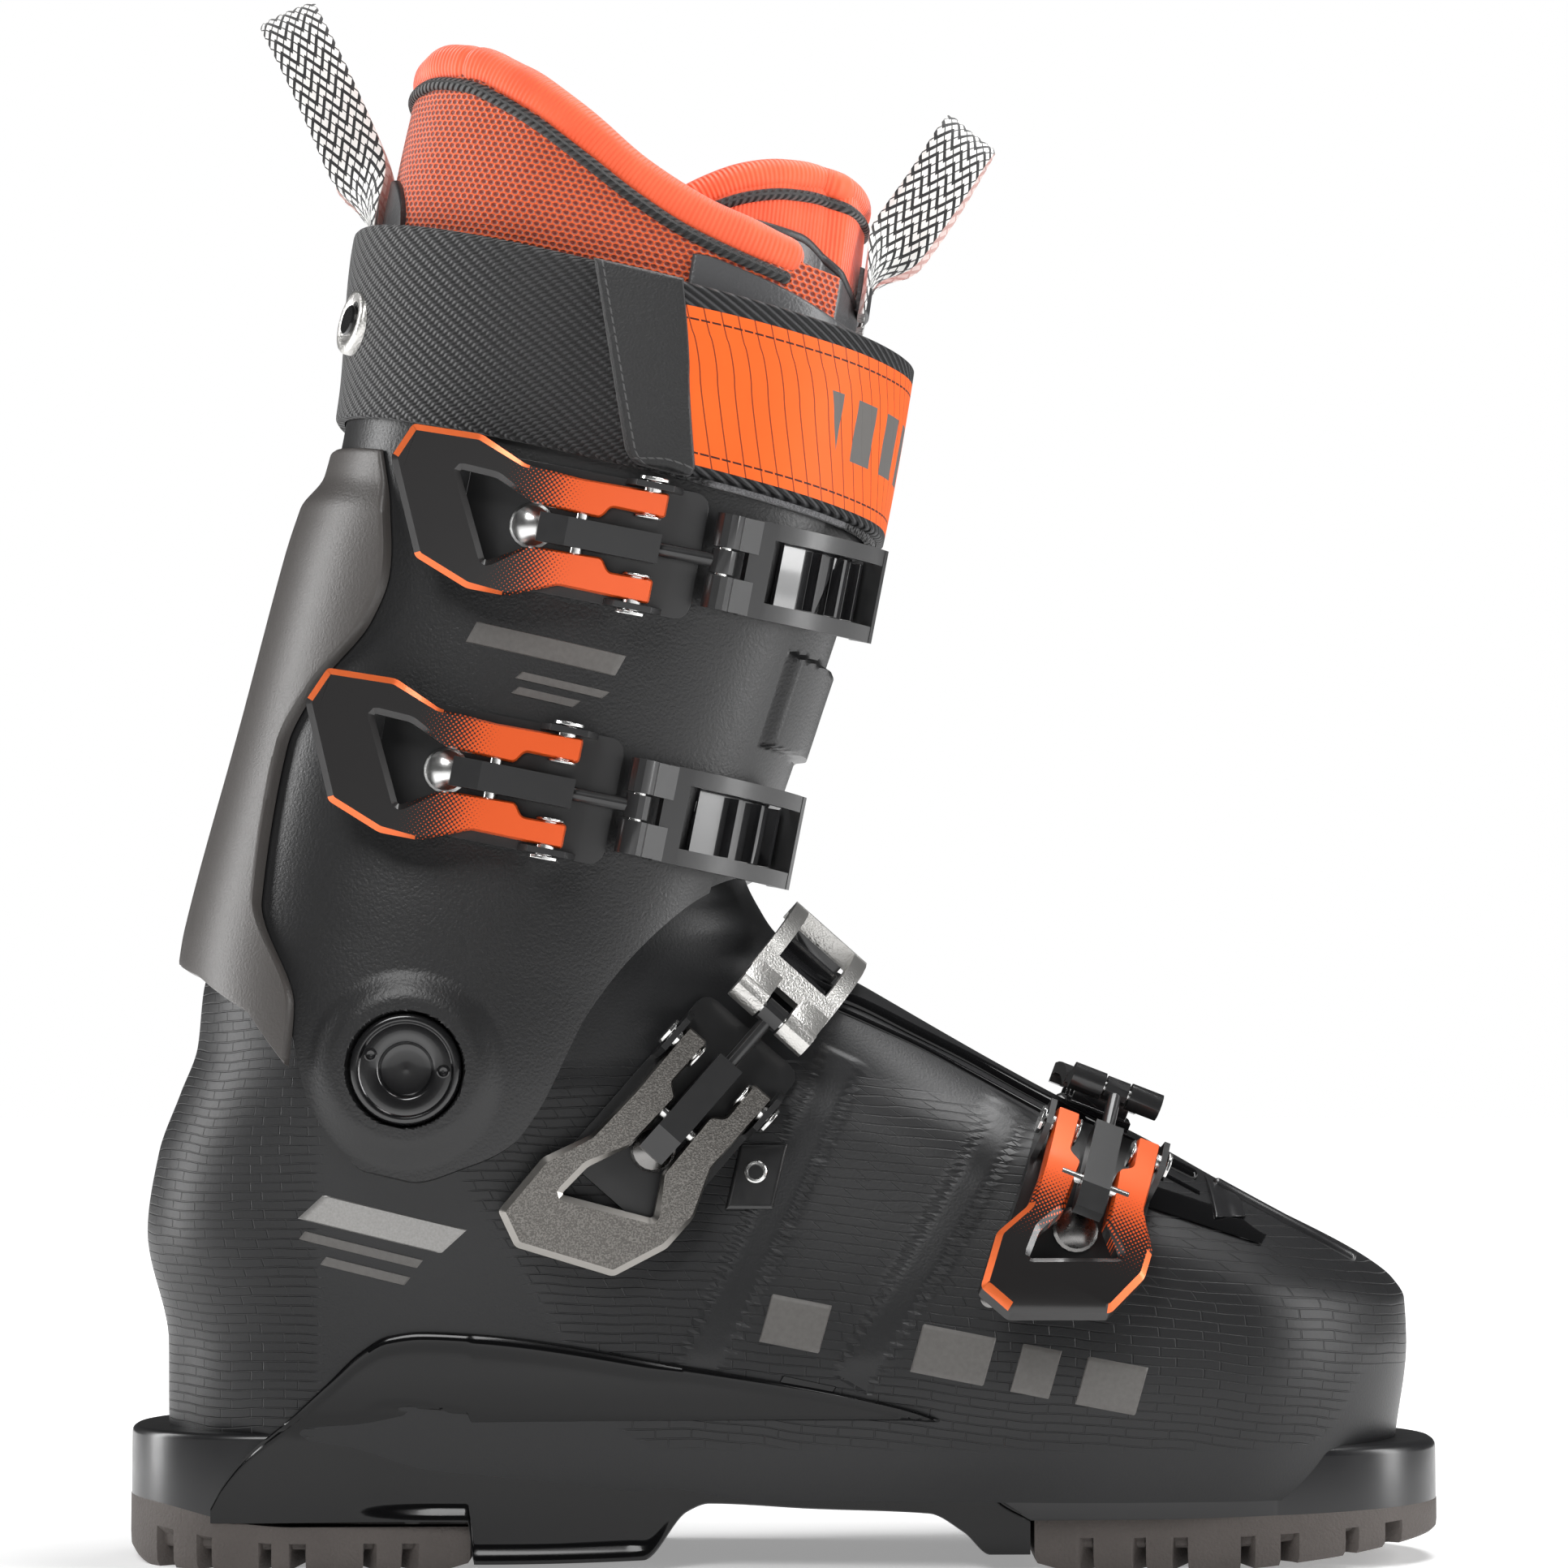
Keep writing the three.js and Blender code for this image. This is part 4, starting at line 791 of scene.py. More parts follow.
side = (2 * edge_spaced(150) - 1)[None, :]
rise = edge_spaced(110)[:, None]
spine_low = np.interp(np.abs(side), [0, 0.45, 0.8, 1], [10.5, 9.0, 4.0, -5.5])
spine_height = spine_low + (137 - spine_low) * rise
spine_turn = np.pi + side * (np.pi - turn_of(spine_front(spine_height), spine_height))
ridge = 2 + 2.4 * np.clip(-np.cos(spine_turn), 0, 1) ** 6
ridge = ridge + 0.5 * (1 - ease(np.abs(spine_turn - np.pi), 0.10, 0.16))
ridge = ridge * (1 - 0.62 * ease(spine_height, 122, 131))
plate("spine_cap", leg_surface, spine_turn, spine_height, 0.4, 0.4 + ridge, spine_polymer, "cuff", "spine_grey", 1.0)
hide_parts("rear_spine")

# ---- Ankle pivots ------------------------------------------------------------------------
# The outer pivot is a turned black disc that can be turned to cant the cuff, with a key recess.
# The inner one is a plain steel bolt.


def turned(name, centre, profile, finish, body, slot, facing=-1, count=96):
    """A turned part about the leg's own Y: profile holds (radius, distance out) from centre."""
    angle = 2 * np.pi * np.arange(count) / count
    rows = [
        np.stack([centre[0] + r * np.cos(angle), np.full(count, facing * out), centre[1] + r * np.sin(angle)], -1)
        for r, out in profile
    ]
    return grid_piece(name, to_boot(np.stack(rows)), finish, body, slot, around=True, close=True)


disc_black = Finish("disc_black", (0.006, 0.006, 0.0065), 0.2, coat_weight=0.5, coat_roughness=0.06)
disc_black.set("Roughness", 0.17 + 0.07 * disc_black.noise(0.003))
disc = turned(
    "cant_disc_face", (0, 0),
    [(0.02, 44.4), (5, 44.4), (5, 50), (12.4, 50), (12.6, 50.3), (12.6, 54.3), (12.3, 54.9), (11.7, 55.2),
     (10.9, 55.1), (10.6, 54.3), (10.3, 54.1), (6.9, 54.4), (6.4, 54.2), (5.9, 53.4), (5.6, 52.4), (4.2, 52.2),
     (0.02, 52.4)],
    disc_black, "cant_disc", "gloss_black",
)
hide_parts("outer_pivot_disc")
for name, x_at in (("cant_dimple_front", 8.4), ("cant_dimple_rear", -8.4)):
    turned(name, (x_at, 1.5), [(0.02, 53.4), (1.5, 53.4), (1.5, 54.6), (1.2, 54.8), (0.9, 54.4), (0.02, 54.2)],
           disc_black, "cant_disc", "gloss_black", count=32)

steel = Finish("bright_steel", (0.72, 0.72, 0.71), 0.2, 1.0)
steel.set("Roughness", 0.16 + 0.12 * steel.noise(0.0015))
dark_steel = Finish("dark_steel", (0.22, 0.215, 0.21), 0.26, 1.0)
dark_steel.set("Roughness", 0.2 + 0.14 * dark_steel.noise(0.0015))
bolt = turned(
    "inner_bolt", (0, 0),
    [(0.02, 44.4), (5, 44.4), (5, 55.2), (8.5, 55.2), (8.6, 55.5), (8.6, 56.1), (8.2, 56.6), (5, 58.2), (3.4, 58.6),
     (3.2, 57.2), (0.02, 57.1)],
    steel, "shell", "steel", facing=1,
)
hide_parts("inner_pivot_bolt")

# ---- Buckles -----------------------------------------------------------------------------
# Four over-centre buckles: a base riveted to one flap, a forged aluminium lever, and a threaded
# rod that draws a bail over the teeth of the ladder on the other flap.


def buckle_frame(prefix):
    """The matrix from the row frame to the buckle's own: X along the pull, Y the hinge, Z outward."""
    joints = {joint["name"]: joint for joint in frame["joints"]}
    hinge, slide = joints[prefix + "_lever_hinge"], joints[prefix + "_length_adjust"]
    along, hinge_axis = Vector(slide["axis"]).normalized(), Vector(hinge["axis"]).normalized()
    out = along.cross(hinge_axis)
    turned_frame = Matrix((along, hinge_axis, out)).transposed().to_4x4()
    turned_frame.translation = Vector(hinge["pos_m"])
    return turned_frame.inverted()


def rounded_cad(name, nodes, finish, slot, width, body):
    """The CAD solids of some nodes as one piece whose sharp edges are rounded to width mm."""
    work = bmesh.new()
    for node in nodes:
        start = len(work.verts)
        work.from_mesh(frame["nodes"][node].data)
        work.verts.ensure_lookup_table()
        bmesh.ops.transform(work, matrix=frame["nodes"][node].matrix_world, verts=work.verts[start:])
    bmesh.ops.remove_doubles(work, verts=work.verts, dist=1e-6)
    bmesh.ops.dissolve_limit(work, angle_limit=math.radians(1), verts=work.verts, edges=work.edges)
    mesh = bpy.data.meshes.new(name)
    work.to_mesh(mesh)
    work.free()
    mesh.materials.append(finish.material)
    mesh.shade_smooth()
    mesh.set_sharp_from_angle(angle=math.radians(30))
    piece = bpy.data.objects.new(name, mesh)
    bpy.context.scene.collection.objects.link(piece)
    rounding = piece.modifiers.new("edges", "BEVEL")
    rounding.limit_method = "ANGLE"
    rounding.angle_limit = math.radians(30)
    rounding.width = width / 1000
    rounding.segments = 2
    rounding.harden_normals = True
    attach(piece, body)
    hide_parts(*nodes)
    return piece


def lever_paint():
    """Black at the handle, with orange dots that grow towards the pivot until they meet."""
    made = Finish("lever_paint", (0.008, 0.008, 0.009), 0.3, coat_weight=0.4, coat_roughness=0.1)
    along = made.axes(made.place(uv=True))[0]
    x, y, _ = made.axes(made.place((1250, 1250, 1250), (0, 0, math.pi / 4), uv=True))
    x, y = x.one("FRACT") - 0.5, y.one("FRACT") - 0.5
    dot = (x * x + y * y).one("SQRT") < 0.78 * along.step(-0.036, -0.008)
    made.set("Base Color", made.blend(dot, (0.010, 0.009, 0.009), (0.78, 0.105, 0.018)))
    made.set("Metallic", 0.35 * dot)
    return made


LEVER_OUTLINE = [
    (3.8, 12.6), (-16, 12.2), (-29, 13), (-40, 17.8), (-55.5, 17.3), (-59, 9), (-49.5, -12), (-37, -16.8),
    (-28, -16.8), (-17, -12.3), (3.8, -12.6), (3.8, -7), (-6.5, -7.2), (-8.5, -4.3), (-25, -4.8),
    (-34, -10), (-43.5, 9.2), (-35, 8.8), (-25.5, 4.8), (-10.5, 4.3), (-8.5, 7.2), (3.8, 7),
]


def rounded_outline(points, radius=0.9, steps=4):
    """A polygon whose corners are cut to short arcs that start radius mm before each corner."""
    corners = np.array(points, float)
    before, after = np.roll(corners, 1, 0) - corners, np.roll(corners, -1, 0) - corners
    reach_before = np.minimum(radius / np.linalg.norm(before, axis=1), 0.45)[:, None]
    reach_after = np.minimum(radius / np.linalg.norm(after, axis=1), 0.45)[:, None]
    arc = [
        (1 - t) ** 2 * (corners + before * reach_before) + 2 * t * (1 - t) * corners
        + t**2 * (corners + after * reach_after)
        for t in np.linspace(0, 1, steps)
    ]
    return np.stack(arc, 1).reshape(-1, 2)


def inward_of(outline):
    """Unit directions from each point of a closed outline into its inside."""
    along = np.roll(outline, -1, 0) - np.roll(outline, 1, 0)
    along /= np.linalg.norm(along, axis=1, keepdims=True)
    area = np.sum(outline[:, 0] * np.roll(outline[:, 1], -1) - outline[:, 1] * np.roll(outline[:, 0], -1))
    return np.sign(area) * np.stack([-along[:, 1], along[:, 0]], -1)


def forged_lever(prefix, local, reach, bow, finish, edge, slot):
    """The lever's outline with chamfered edges, cut into strips along X and bent so that its
    handle comes down towards the boot: z falls as the square of the distance behind the pivot."""
    outline = rounded_outline([(-16 + (x + 16) * reach if x < -16 else x, y) for x, y in LEVER_OUTLINE])
    inward = inward_of(outline)
    painted_corners = (2, 3, 4, 6, 7) if edge is lever_edge else range(len(LEVER_OUTLINE))
    wide = (0.45 + 0.95 * ease(-outline[:, 0], 24 * reach, 36 * reach))[:, None]
    work = bmesh.new()
    rings = []
    for z, cut in ((-1, wide), (-0.62, 0 * wide), (0.55, 0 * wide), (1, wide)):
        flat = outline + inward * cut
        rings.append([work.verts.new((x, y, z)) for x, y in flat])
    count = len(outline)
    for k in range(3):
        for i in range(count):
            j = (i + 1) % count
            face = work.faces.new((rings[k][i], rings[k][j], rings[k + 1][j], rings[k + 1][i]))
            corner = i * len(LEVER_OUTLINE) // count
            face.material_index = 1 if k == 2 and corner in painted_corners else 0
    work.faces.new(rings[0][::-1])
    work.faces.new(rings[3])
    for station in np.arange(-60, 5, 2.0):
        everything = work.verts[:] + work.edges[:] + work.faces[:]
        bmesh.ops.bisect_plane(work, geom=everything, plane_co=(station, 0, 0), plane_no=(1, 0, 0))
    layer = work.loops.layers.uv.new("UVMap")
    for face in work.faces:
        for loop in face.loops:
            loop[layer].uv = (loop.vert.co.x / 1000, loop.vert.co.y / 1000)
    for vert in work.verts:
        x = vert.co.x
        half_thick = 2.6 - 0.7 * float(ease(-x, 10, 60))
        bend = -((min(x, 0) / 60) ** 2) * bow
        vert.co = Vector((x, vert.co.y, bend + half_thick * vert.co.z)) / 1000
    bmesh.ops.transform(work, matrix=local.inverted(), verts=work.verts)
    mesh = bpy.data.meshes.new(prefix + "_handle")
    bmesh.ops.recalc_face_normals(work, faces=work.faces)
    work.to_mesh(mesh)
    work.free()
    mesh.materials.append(finish.material)
    mesh.materials.append(edge.material)
    mesh.shade_smooth()
    mesh.set_sharp_from_angle(angle=math.radians(24))
    piece = bpy.data.objects.new(prefix + "_handle", mesh)
    bpy.context.scene.collection.objects.link(piece)
    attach(piece, prefix + "_lever")
    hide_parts(prefix + "_lever")


def cross_pin(prefix, local, finish):
    """The barrel's steel pin, seen between the lever's two arms."""
    angle = 2 * np.pi * np.arange(20) / 20
    rows = [
        np.stack([-14.5 + r * np.cos(angle), np.full(20, float(y)), r * np.sin(angle)], -1)
        for r, y in ((0.01, -8), (1.3, -8), (1.3, 8), (0.01, 8))
    ]
    points = np.stack(rows) @ np.array(local.inverted().to_3x3()).T
    points = points + np.array(local.inverted().translation) * 1000
    pin = grid_piece(prefix + "_link_pin", points, finish, prefix + "_lever", "steel", around=True, close=True)
    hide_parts(prefix + "_barrel_pin")


lever_black = lever_paint()
lever_edge = Finish("lever_edge", (0.80, 0.15, 0.035), 0.32, 0.5, coat_weight=0.2)
titanium = Finish("lever_titanium", (0.15, 0.142, 0.132), 0.4, 1.0)
speckle = titanium.noise(0.0004, 1.0)
titanium.set("Base Color", titanium.blend(speckle.step(0.4, 0.65), (0.115, 0.109, 0.102), (0.19, 0.181, 0.169)))
titanium.bump(speckle, 0.0001)
titanium_edge = Finish("lever_titanium_edge", (0.34, 0.325, 0.305), 0.3, 1.0)
bail_silver = Finish("bail_silver", (0.60, 0.59, 0.57), 0.34, 1.0)
cast_grain = bail_silver.noise(0.0005, 1.0)
bail_silver.set("Roughness", 0.3 + 0.12 * cast_grain)
bail_silver.bump(cast_grain, 0.00012)
buckle_black = Finish("buckle_black", (0.012, 0.012, 0.0125), 0.3, coat_weight=0.25, coat_roughness=0.15)
buckle_black.set("Roughness", 0.27 + 0.1 * buckle_black.noise(0.002))
ladder_black = Finish("ladder_black", (0.012, 0.012, 0.013), 0.13, coat_weight=0.8, coat_roughness=0.03)
ladder_black.set("Roughness", 0.10 + 0.08 * ladder_black.noise(0.004))
lever_edge.set("Roughness", 0.28 + 0.10 * lever_edge.noise(0.001))
titanium_edge.set("Roughness", 0.26 + 0.10 * titanium_edge.noise(0.0008))

for prefix, body, reach, bow, lever_face, edge, lever_slot, bail, bail_slot, dome in (
    ("top", "cuff", 1, 6, lever_black, lever_edge, "lever_black", buckle_black, "buckle_black", steel),
    ("ankle", "cuff", 1, 6, lever_black, lever_edge, "lever_black", buckle_black, "buckle_black", steel),
    ("instep", "shell", 1, 8, titanium, titanium_edge, "titanium_lever", bail_silver, "bail_silver", dark_steel),
    ("toe", "shell", 0.74, 25, lever_black, lever_edge, "lever_black", buckle_black, "buckle_black", dark_steel),
):
    local = buckle_frame(prefix)
    part = lambda kind: f"{prefix}_{kind}"
    rounded_cad(part("base_plate"), [part("base")], buckle_black, "buckle_black", 0.35, body)
    rounded_cad(part("teeth"), [part("ladder")], ladder_black, "buckle_black", 0.3, body)
    rounded_cad(part("dome"), [part("base_rivet")], dome, "steel", 0.15, body)
    rivets = [part("lever_rivet_a"), part("lever_rivet_b")]
    rounded_cad(part("rivets"), rivets, steel, "steel", 0.2, body)
    forged_lever(prefix, local, reach, bow, lever_face, edge, lever_slot)
    cross_pin(prefix, local, steel)
    rounded_cad(part("sleeve"), [part("barrel")], buckle_black, "buckle_black", 0.5, part("barrel"))
    rounded_cad(part("thread"), [part("shaft")], buckle_black, "buckle_black", 0.15, part("shaft"))
    rounded_cad(part("hook"), [part("bail")], bail, bail_slot, 0.55, part("bail"))
    rounded_cad(part("hook_pin"), [part("bail_pin")], steel, "steel", 0.2, part("bail"))


# ---- Power strap -------------------------------------------------------------------------
# A band of black twill webbing round the top of the cuff. Its free end laps over the outer side
# with a ribbed orange panel and a folded black pull tab, and an eyelet holds it at the back.

STRAP_LOW, STRAP_HIGH = 144, 188

webbing = Finish("strap_twill", (0.008, 0.008, 0.009), 0.75, sheen_weight=0.25)
across, up, _ = webbing.axes(webbing.place(uv=True))
slant = across * 0.62 + up
rib = (slant * (2 * math.pi / 0.0026)).one("SINE")
thread = ((across * 0.62 - up) * (2 * math.pi / 0.0011) + rib * 1.2).one("SINE")
weave = rib * 0.6 + thread * 0.4 + 0.5 * webbing.noise(0.0007)
loops = webbing.attribute("hooks")
fuzz = webbing.noise(0.0005, 3.0)
# The black twill's raised threads are painted lighter: a painted highlight along the ribs.
twill_highlight_color = webbing.blend(weave.step(0.3, 1.0), (0.0035, 0.0035, 0.004), (0.045, 0.045, 0.047))
fuzz_color = webbing.blend(fuzz, (0.03, 0.03, 0.032), (0.32, 0.32, 0.33))
webbing.set("Base Color", webbing.blend(loops, twill_highlight_color, fuzz_color))
webbing.bump(weave * (1 - loops) + fuzz * loops, 0.0005)


def flap_start(height):
    """The turn where the free end starts: its cut edge slants across the outer side of the leg."""
    return -turn_of(-1.2 + (191 - height) * 0.395, height)


strap_turn = np.linspace(-np.pi, np.pi, 361)[:-1][None, :]
strap_ring = [(0.0, 0.4), (0.0, 2.1), (0.012, 2.5), (0.03, 2.6)] + [(t, 2.6) for t in np.linspace(0.06, 0.94, 40)]
strap_ring += [(0.97, 2.6), (0.988, 2.5), (1.0, 2.1), (1.0, 0.4)] + [(t, 0.4) for t in np.linspace(0.9, 0.1, 6)]
level, lift = np.array(strap_ring).T[:, :, None]
height = STRAP_LOW + (STRAP_HIGH - STRAP_LOW) * level + 0 * strap_turn
sag = 0.35 * np.sin(3 * strap_turn + 1.0) + 0.25 * np.sin(7 * strap_turn + 0.12 * height)
wavy = height + 0.5 * np.sin(2 * strap_turn + 0.4) * ease(level, 0, 1)
points = on_leg(wavy, strap_turn, -(lift + 0.35 * (lift > 1) * sag * ease(level, 0, 0.2) * (1 - ease(level, 0.8, 1))))
round_mm = lengths_along(points, 1)
hooks = ease(strap_turn, -1.25, -1.2) * (1 - ease(strap_turn, -0.55, -0.5)) * (1 - ease(height, 147.5, 149))
strap = grid_piece(
    "strap_band", points, webbing, "cuff", "strap_webbing", around=True, loop=True,
    uv=(round_mm / 1000, height / 1000), hooks=hooks,
)
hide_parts("power_strap")

FLAP_FRONT = math.radians(42)
side, rise = edge_spaced(200)[None, :], edge_spaced(60)[:, None]
flap_height = 145.2 + (187.6 - 145.2) * rise + 0 * side
flap_turn = flap_start(flap_height) + 0.02 + side * (FLAP_FRONT - flap_start(flap_height) - 0.02)
panel = Finish("strap_panel", (0.85, 0.13, 0.012), 0.6, specular_ior_level=0.3)
across, up, _ = panel.axes(panel.place(uv=True))
groove = ((across / 0.0041).one("FRACT") - 0.5).one("ABSOLUTE") * 0.0041 < 0.00016
bars = ((across - 0.3 * up) / 0.0135).one("FRACT") < 0.6
bars = bars * (across > 0.0530) * (across < 0.0980) * (up > 0.0135) * (up < 0.0280)
in_panel = (across > 0.0105) * (up > 0.0024) * (up < 0.0385)
weave = ((across * 0.62 + up) * (2 * math.pi / 0.0022)).one("SINE") + 0.6 * panel.noise(0.0007)
stitch_rows = ((up - 0.0052).one("ABSOLUTE") < 0.00022) + ((up - 0.0356).one("ABSOLUTE") < 0.00022)
stitch_rows = stitch_rows * ((across / 0.0026).one("FRACT") > 0.18) * (across > 0.0125)
side_stitch = ((across - 0.0136).one("ABSOLUTE") < 0.0002) * ((up / 0.0026).one("FRACT") > 0.3)
# Dark lines on the panel: the grooves between the ribs are painted dark as painted shade, and the stitch rows and side
# stitch are dark stitching.
groove_shade_and_stitches = (groove * 0.55 + stitch_rows + side_stitch * (up > 0.005) * (up < 0.036)).one("SQRT").step(0.1, 1.0)
orange = panel.blend(panel.noise(0.02), (0.80, 0.098, 0.008), (0.88, 0.125, 0.012))
orange = panel.blend(groove_shade_and_stitches, orange, (0.05, 0.012, 0.006))
# The black twill border's raised threads are painted lighter: a painted highlight, as on the strap.
black = panel.blend(weave.step(0.2, 1.3), (0.0035, 0.0035, 0.004), (0.05, 0.05, 0.052))
orange = panel.blend(bars, orange, (0.11, 0.105, 0.10))
panel.set("Base Color", panel.blend(in_panel, black, orange))
panel.bump(in_panel * (1 - groove - stitch_rows) + (1 - in_panel) * weave * 0.5, 0.0004)
ripple = 0.22 * np.sin(5 * flap_turn + 0.08 * flap_height) + 0.15 * np.sin(11 * flap_turn - 0.05 * flap_height)
plate("strap_panel", leg_surface, flap_turn, flap_height, 2.75, 4.75 + ripple, panel, "cuff", "strap_webbing", 1.0)

tab_black = Finish("pull_tab", (0.006, 0.006, 0.0065), 0.5, sheen_weight=0.2)
across, up, _ = tab_black.axes(tab_black.place(uv=True))
edge_line = ((across - 0.0022).one("ABSOLUTE") < 0.00018) + ((up - 0.0026).one("ABSOLUTE") < 0.00018)
seam = edge_line * (((across + up) / 0.0022).one("FRACT") > 0.3)
tab_black.set("Base Color", tab_black.blend(seam, (0.006, 0.006, 0.0065), (0.07, 0.07, 0.07)))
tab_black.bump(tab_black.noise(0.0006) - 2 * seam, 0.0002)
side, rise = edge_spaced(40)[None, :], edge_spaced(60)[:, None]
round_low = 3.0 * (1 - np.sqrt(1 - (1 - np.clip(rise / 0.08, 0, 1)) ** 2))
tab_height = 144.6 + (188.2 - 144.6) * rise + 0 * side
tab_from = flap_start(tab_height) + 0.012 * round_low
tab_turn = tab_from + side * (0.215 - 0.024 * round_low)
plate("pull_tab", leg_surface, tab_turn, tab_height, 2.72, 5.5, tab_black, "cuff", "strap_webbing", 1.2)


def stud_rows(centre, out, right, profile, count):
    """Rings of a small turned part that stands on a skin; profile holds (radius, lift)."""
    angle = 2 * np.pi * np.arange(count) / count
    spin = np.cos(angle)[:, None] * right + np.sin(angle)[:, None] * np.cross(out, right)
    return np.stack([centre + out * lift + spin * radius for radius, lift in profile])


def leg_stud(name, turn, height, profile, finish, slot, count=64):
    """A small turned part on the leg's skin; profile holds (radius, lift) from the centre out."""
    centre = leg_point(height, turn, 0.0)
    out = leg_point(height, turn, -1.0) - centre
    out /= np.linalg.norm(out)
    right = np.cross([0, 0, 1.0], out)
    right /= np.linalg.norm(right)
    rows = to_boot(stud_rows(centre, out, right, profile, count))
    return grid_piece(name, rows, finish, "cuff", slot, around=True, close=True)


leg_stud("strap_eyelet", math.radians(-157), 166, [(0.02, 0.6), (7.9, 0.6), (7.9, 3.0), (7.4, 3.7), (6.4, 4.0),
         (5.2, 3.8), (4.4, 3.2), (0.02, 3.2)], bail_silver, "steel")
leg_stud("strap_rivet", math.radians(-157), 166, [(0.02, 0.8), (3.7, 0.8), (3.7, 4.1), (3.3, 4.5), (0.02, 4.6)],
         disc_black, "steel")


# ---- Liner shaft -------------------------------------------------------------------------
# The padded liner's upper part in an orange spacer knit over foam. Its top edge is a smooth
# stuffed roll, sewn on over a braided black piping, and it wraps the leg up to the shin.

SHAFT_INSET, SHAFT_THICK = 4.8, 8.5
liner_tuck = smooth_line([(-20, 9.5), (25, 9.8), (42, 10.6), (60, 6.5), (75, 1.5), (186, 0.3), (200, 0), (240, 0)])
collar_line = smooth_line([(-60, 222.5), (-55, 225), (-50.5, 228.2), (-44, 230), (-36.8, 229.4), (-28.4, 226.6),
                           (-20, 223), (-7.6, 216.6), (5.2, 210), (17.6, 205.2), (29.5, 202.6), (45, 200.4)])
COLLAR_RADIUS = 5.2

knit = Finish("liner_knit", (0.62, 0.06, 0.012), 0.85, sheen_weight=0.4)
across, up, _ = knit.axes(knit.place(uv=True))
row = up / 0.0013
zigzag = ((across / 0.0020 + 0.5 * row.one("FLOOR")).one("FRACT") - 0.5).one("ABSOLUTE") * 2
strand = (row.one("FRACT") - 0.5).one("ABSOLUTE") * 2
cell = (zigzag * zigzag + strand * strand).one("SQRT")
mesh_height = cell.step(0.45, 1.0) + 0.25 * knit.noise(0.0004)
# The mesh's hollows are painted dark red: painted shade in the holes of the knit.
knit.set("Base Color", knit.blend(cell.step(0.35, 0.85), (0.17, 0.010, 0.003), (0.85, 0.115, 0.02)))
knit.bump(mesh_height, 0.0009)

smooth_knit = Finish("collar_jersey", (0.92, 0.105, 0.028), 0.6, sheen_weight=0.35, sheen_roughness=0.4)
across, up, _ = smooth_knit.axes(smooth_knit.place(uv=True))
course = (across * (2 * math.pi / 0.0011)).one("SINE")
fold = smooth_knit.noise(0.009)
# The jersey is painted darker in the hollows of its folds and lighter on their crests: painted shade and light on the
# folds.
smooth_knit.set("Base Color", smooth_knit.blend(fold, (0.86, 0.082, 0.020), (0.95, 0.135, 0.045)))
smooth_knit.bump(0.16 * course + 0.9 * fold, 0.0006)


def soft_wrinkles(turn, height, size):
    """Shallow creases of a stuffed cover: three sines of turn and height added, size mm deep."""
    wave = np.sin(5.3 * turn + 0.045 * height) + 0.6 * np.sin(11.7 * turn - 0.09 * height + 1.3)
    return size * (wave + 0.35 * np.sin(23 * turn + 0.16 * height + 0.6)) / 1.95


SHAFT_OPEN = math.radians(38)
shaft_turn = np.linspace(SHAFT_OPEN, 2 * np.pi - SHAFT_OPEN, 420)[None, :]


def collar_height(turn):
    """The height of the collar's middle at each turn, found from the outline's x by repetition."""
    height = 215.0 + 0 * turn
    for _ in range(12):
        height = collar_line(leg_point(height, turn, SHAFT_INSET + SHAFT_THICK / 2)[..., 0])
    return height


top_of_wall = collar_height(shaft_turn)
wall_rows = []
for share, inset in [(0, 0.4), (0.004, 0.1)] + [(t, 0) for t in np.linspace(0.015, 1, 130)]:
    height = 24 + (top_of_wall - 24) * share
    puff = soft_wrinkles(shaft_turn, height, 0.35) * ease(height, 150, 180)
    wall_rows.append((height, SHAFT_INSET + inset + liner_tuck(height) - np.minimum(puff, 0.3)))
for share in np.linspace(1, 0, 40):
    height = 24 + (top_of_wall - 24) * share
    puff = soft_wrinkles(shaft_turn + 0.7, height, 0.8) * ease(height, 150, 180)
    wall_rows.append((height, SHAFT_INSET + SHAFT_THICK + liner_tuck(height) + puff))
wall = np.stack([on_leg(height, shaft_turn, inset)[0] for height, inset in wall_rows])
round_mm = lengths_along(wall, 1)
round_mm = round_mm[100][None, :] + 0 * round_mm
wall_height = np.stack([(height + 0 * shaft_turn)[0] for height, _ in wall_rows])
shaft = grid_piece("liner_shaft_knit", wall, knit, "cuff", "liner_orange", loop=True, close=True,
                   uv=(round_mm / 1000, wall_height / 1000))
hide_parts("liner_shaft")


def swept(name, path, out, half_out, half_up, finish, body, slot, power=2.0, count=32):
    """A rounded bar along a path of points: its section is an oval half_out by half_up, closed at
    both ends like a hemisphere. The UV map runs along the path and round the section."""
    along = np.gradient(path, axis=0)
    along /= np.linalg.norm(along, axis=1, keepdims=True)
    up = np.cross(along, out)
    up /= np.linalg.norm(up, axis=1, keepdims=True)
    out = np.cross(up, along)
    distance = walked(path)
    from_end = np.minimum(distance, distance[-1] - distance)
    half_out, half_up = np.broadcast_arrays(half_out * 1.0, half_up + 0 * distance)
    cap = np.minimum(half_out, half_up)
    shrink = np.sqrt(np.clip(1 - (1 - np.clip(from_end / cap, 0.0005, 1)) ** 2, 0, 1))
    angle = 2 * np.pi * np.arange(count) / count
    side_part = signed_power(np.cos(angle), 2 / power)[None, :, None]
    up_part = signed_power(np.sin(angle), 2 / power)[None, :, None]
    ring = (out * (half_out * shrink)[:, None])[:, None] * side_part
    ring = ring + (up * (half_up * shrink)[:, None])[:, None] * up_part
    girth = (angle * float(np.mean(half_up)) / 1000)[None, :]
    return grid_piece(
        name, path[:, None] + ring, finish, body, slot, around=True, close=True,
        uv=(distance[:, None] / 1000 + 0 * girth, girth + 0 * distance[:, None]),
    )


